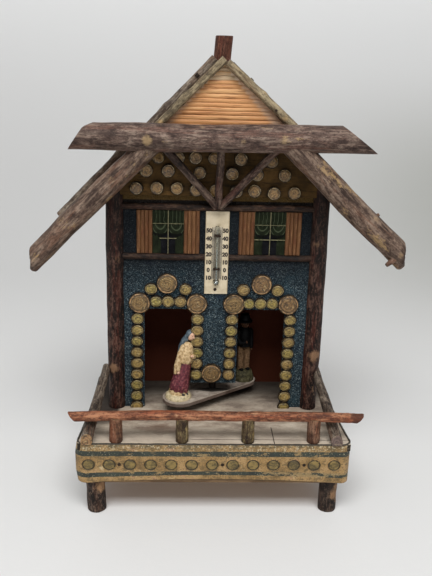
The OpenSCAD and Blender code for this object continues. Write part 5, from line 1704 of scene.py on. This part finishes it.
woman_place = Matrix.Translation((0, 0, ground_rise)) @ woman_lean @ Matrix.Rotation(woman_turn, 4, "Z")
for part in figure:
    part.transform(woman_place)
figure.append(mound(9.6, ground, 3.0))
for part in figure:
    part.transform(Matrix.Translation(woman_at))
mount("woman_figure", figure, woman_paints, "painted_figure", "woman", body="turntable", sharp=60)

# Man
# The foul-weather figure is painted paste too: a black hat and jacket, brown trousers, and a mound of
# grey-green ground. It stands at the other end of the bar.
man_at = Vector((24.3, 28.3, 66)) * mm
man_turn = math.radians(20)
man_rise = 9.2 * mm
# Painted shade: the man stands back in the dark room, so his face is painted dark brown and his hat and
# jacket near-black, partly their own black.
man_paints = [
    gesso("mossy_ground", "#48442f", "#6d6750", "#26231a", glaze=0),
    gesso("brown_trousers", "#765c44", "#967a5e", "#46341f", glaze=0),
    gesso("black_jacket", "#09090a", "#17171a", "#040405", glaze=0),
    gesso("black_hat", "#080808", "#1c1c1c", "#040404", glaze=0),
    gesso("shaded_skin", "#5c4030", "#80604a", "#3d281c", glaze=0),
]
ground, trousers, jacket, black, skin = range(len(man_paints))
hat = turned([(0, 38.4), (5.6, 37.9), (5.7, 38.6), (3.7, 39.2), (3.5, 42.8), (2.8, 43.7), (0, 43.9)])
for face in hat.faces:
    face.material_index = black
figure = [
    limb([(-2.5, 0, 0), (-2.5, 0, 9), (-2.4, 0, 19)], (2.4, 2.6, 2.9), trousers),
    limb([(2.5, 0, 0), (2.5, 0, 9), (2.4, 0, 19)], (2.4, 2.6, 2.9), trousers),
    ball((-2.6, -1.6, -0.6), (3.4, 5.6, 2.4), black),
    ball((2.6, -1.6, -0.6), (3.4, 5.6, 2.4), black),
    folded(
        turned([
            (0, 18.4), (5.2, 18.4), (5.4, 19.2), (4.8, 22), (5.2, 26), (4.9, 29.5), (3.5, 32.4),
            (1.9, 34.6), (0, 34.6)]),
        jacket, 6, 0.05, 16, 28, 5.0),
    limb(
        [(-4.9, 0, 30), (-5.6, -0.2, 25), (-4.8, -2.8, 21.5), (-1.6, -5.0, 22.5)],
        (1.9, 1.9, 1.8, 1.5), jacket),
    limb([(4.9, 0, 30), (5.5, -0.2, 25), (5.2, -1.4, 19.6), (5.0, -1.8, 17)], (1.9, 1.9, 1.7, 1.4), jacket),
    ball((-0.8, -5.4, 22.8), (2.3, 2.1, 2.1), skin),
    ball((5.0, -2.0, 15.6), (2.1, 2.3, 2.7), skin),
    ball((0, -0.3, 36.2), (6.2, 6.6, 7.6), skin),
    limb([(0, -3.5, 36.4), (0, -4.0, 35.7)], (0.5, 0.6), skin, 10),
    hat,
    ball((-1.3, -3.25, 36.9), (0.65, 0.4, 0.6), black, 10),
    ball((1.3, -3.25, 36.9), (0.65, 0.4, 0.6), black, 10),
]
for part in figure:
    part.transform(Matrix.Translation((0, 0, man_rise)) @ Matrix.Rotation(man_turn, 4, "Z"))
figure.append(mound(8.2, ground, 8.0, 2.1))
for part in figure:
    part.transform(Matrix.Translation(man_at))
mount("man_figure", figure, man_paints, "painted_figure", "man", body="turntable", sharp=60)
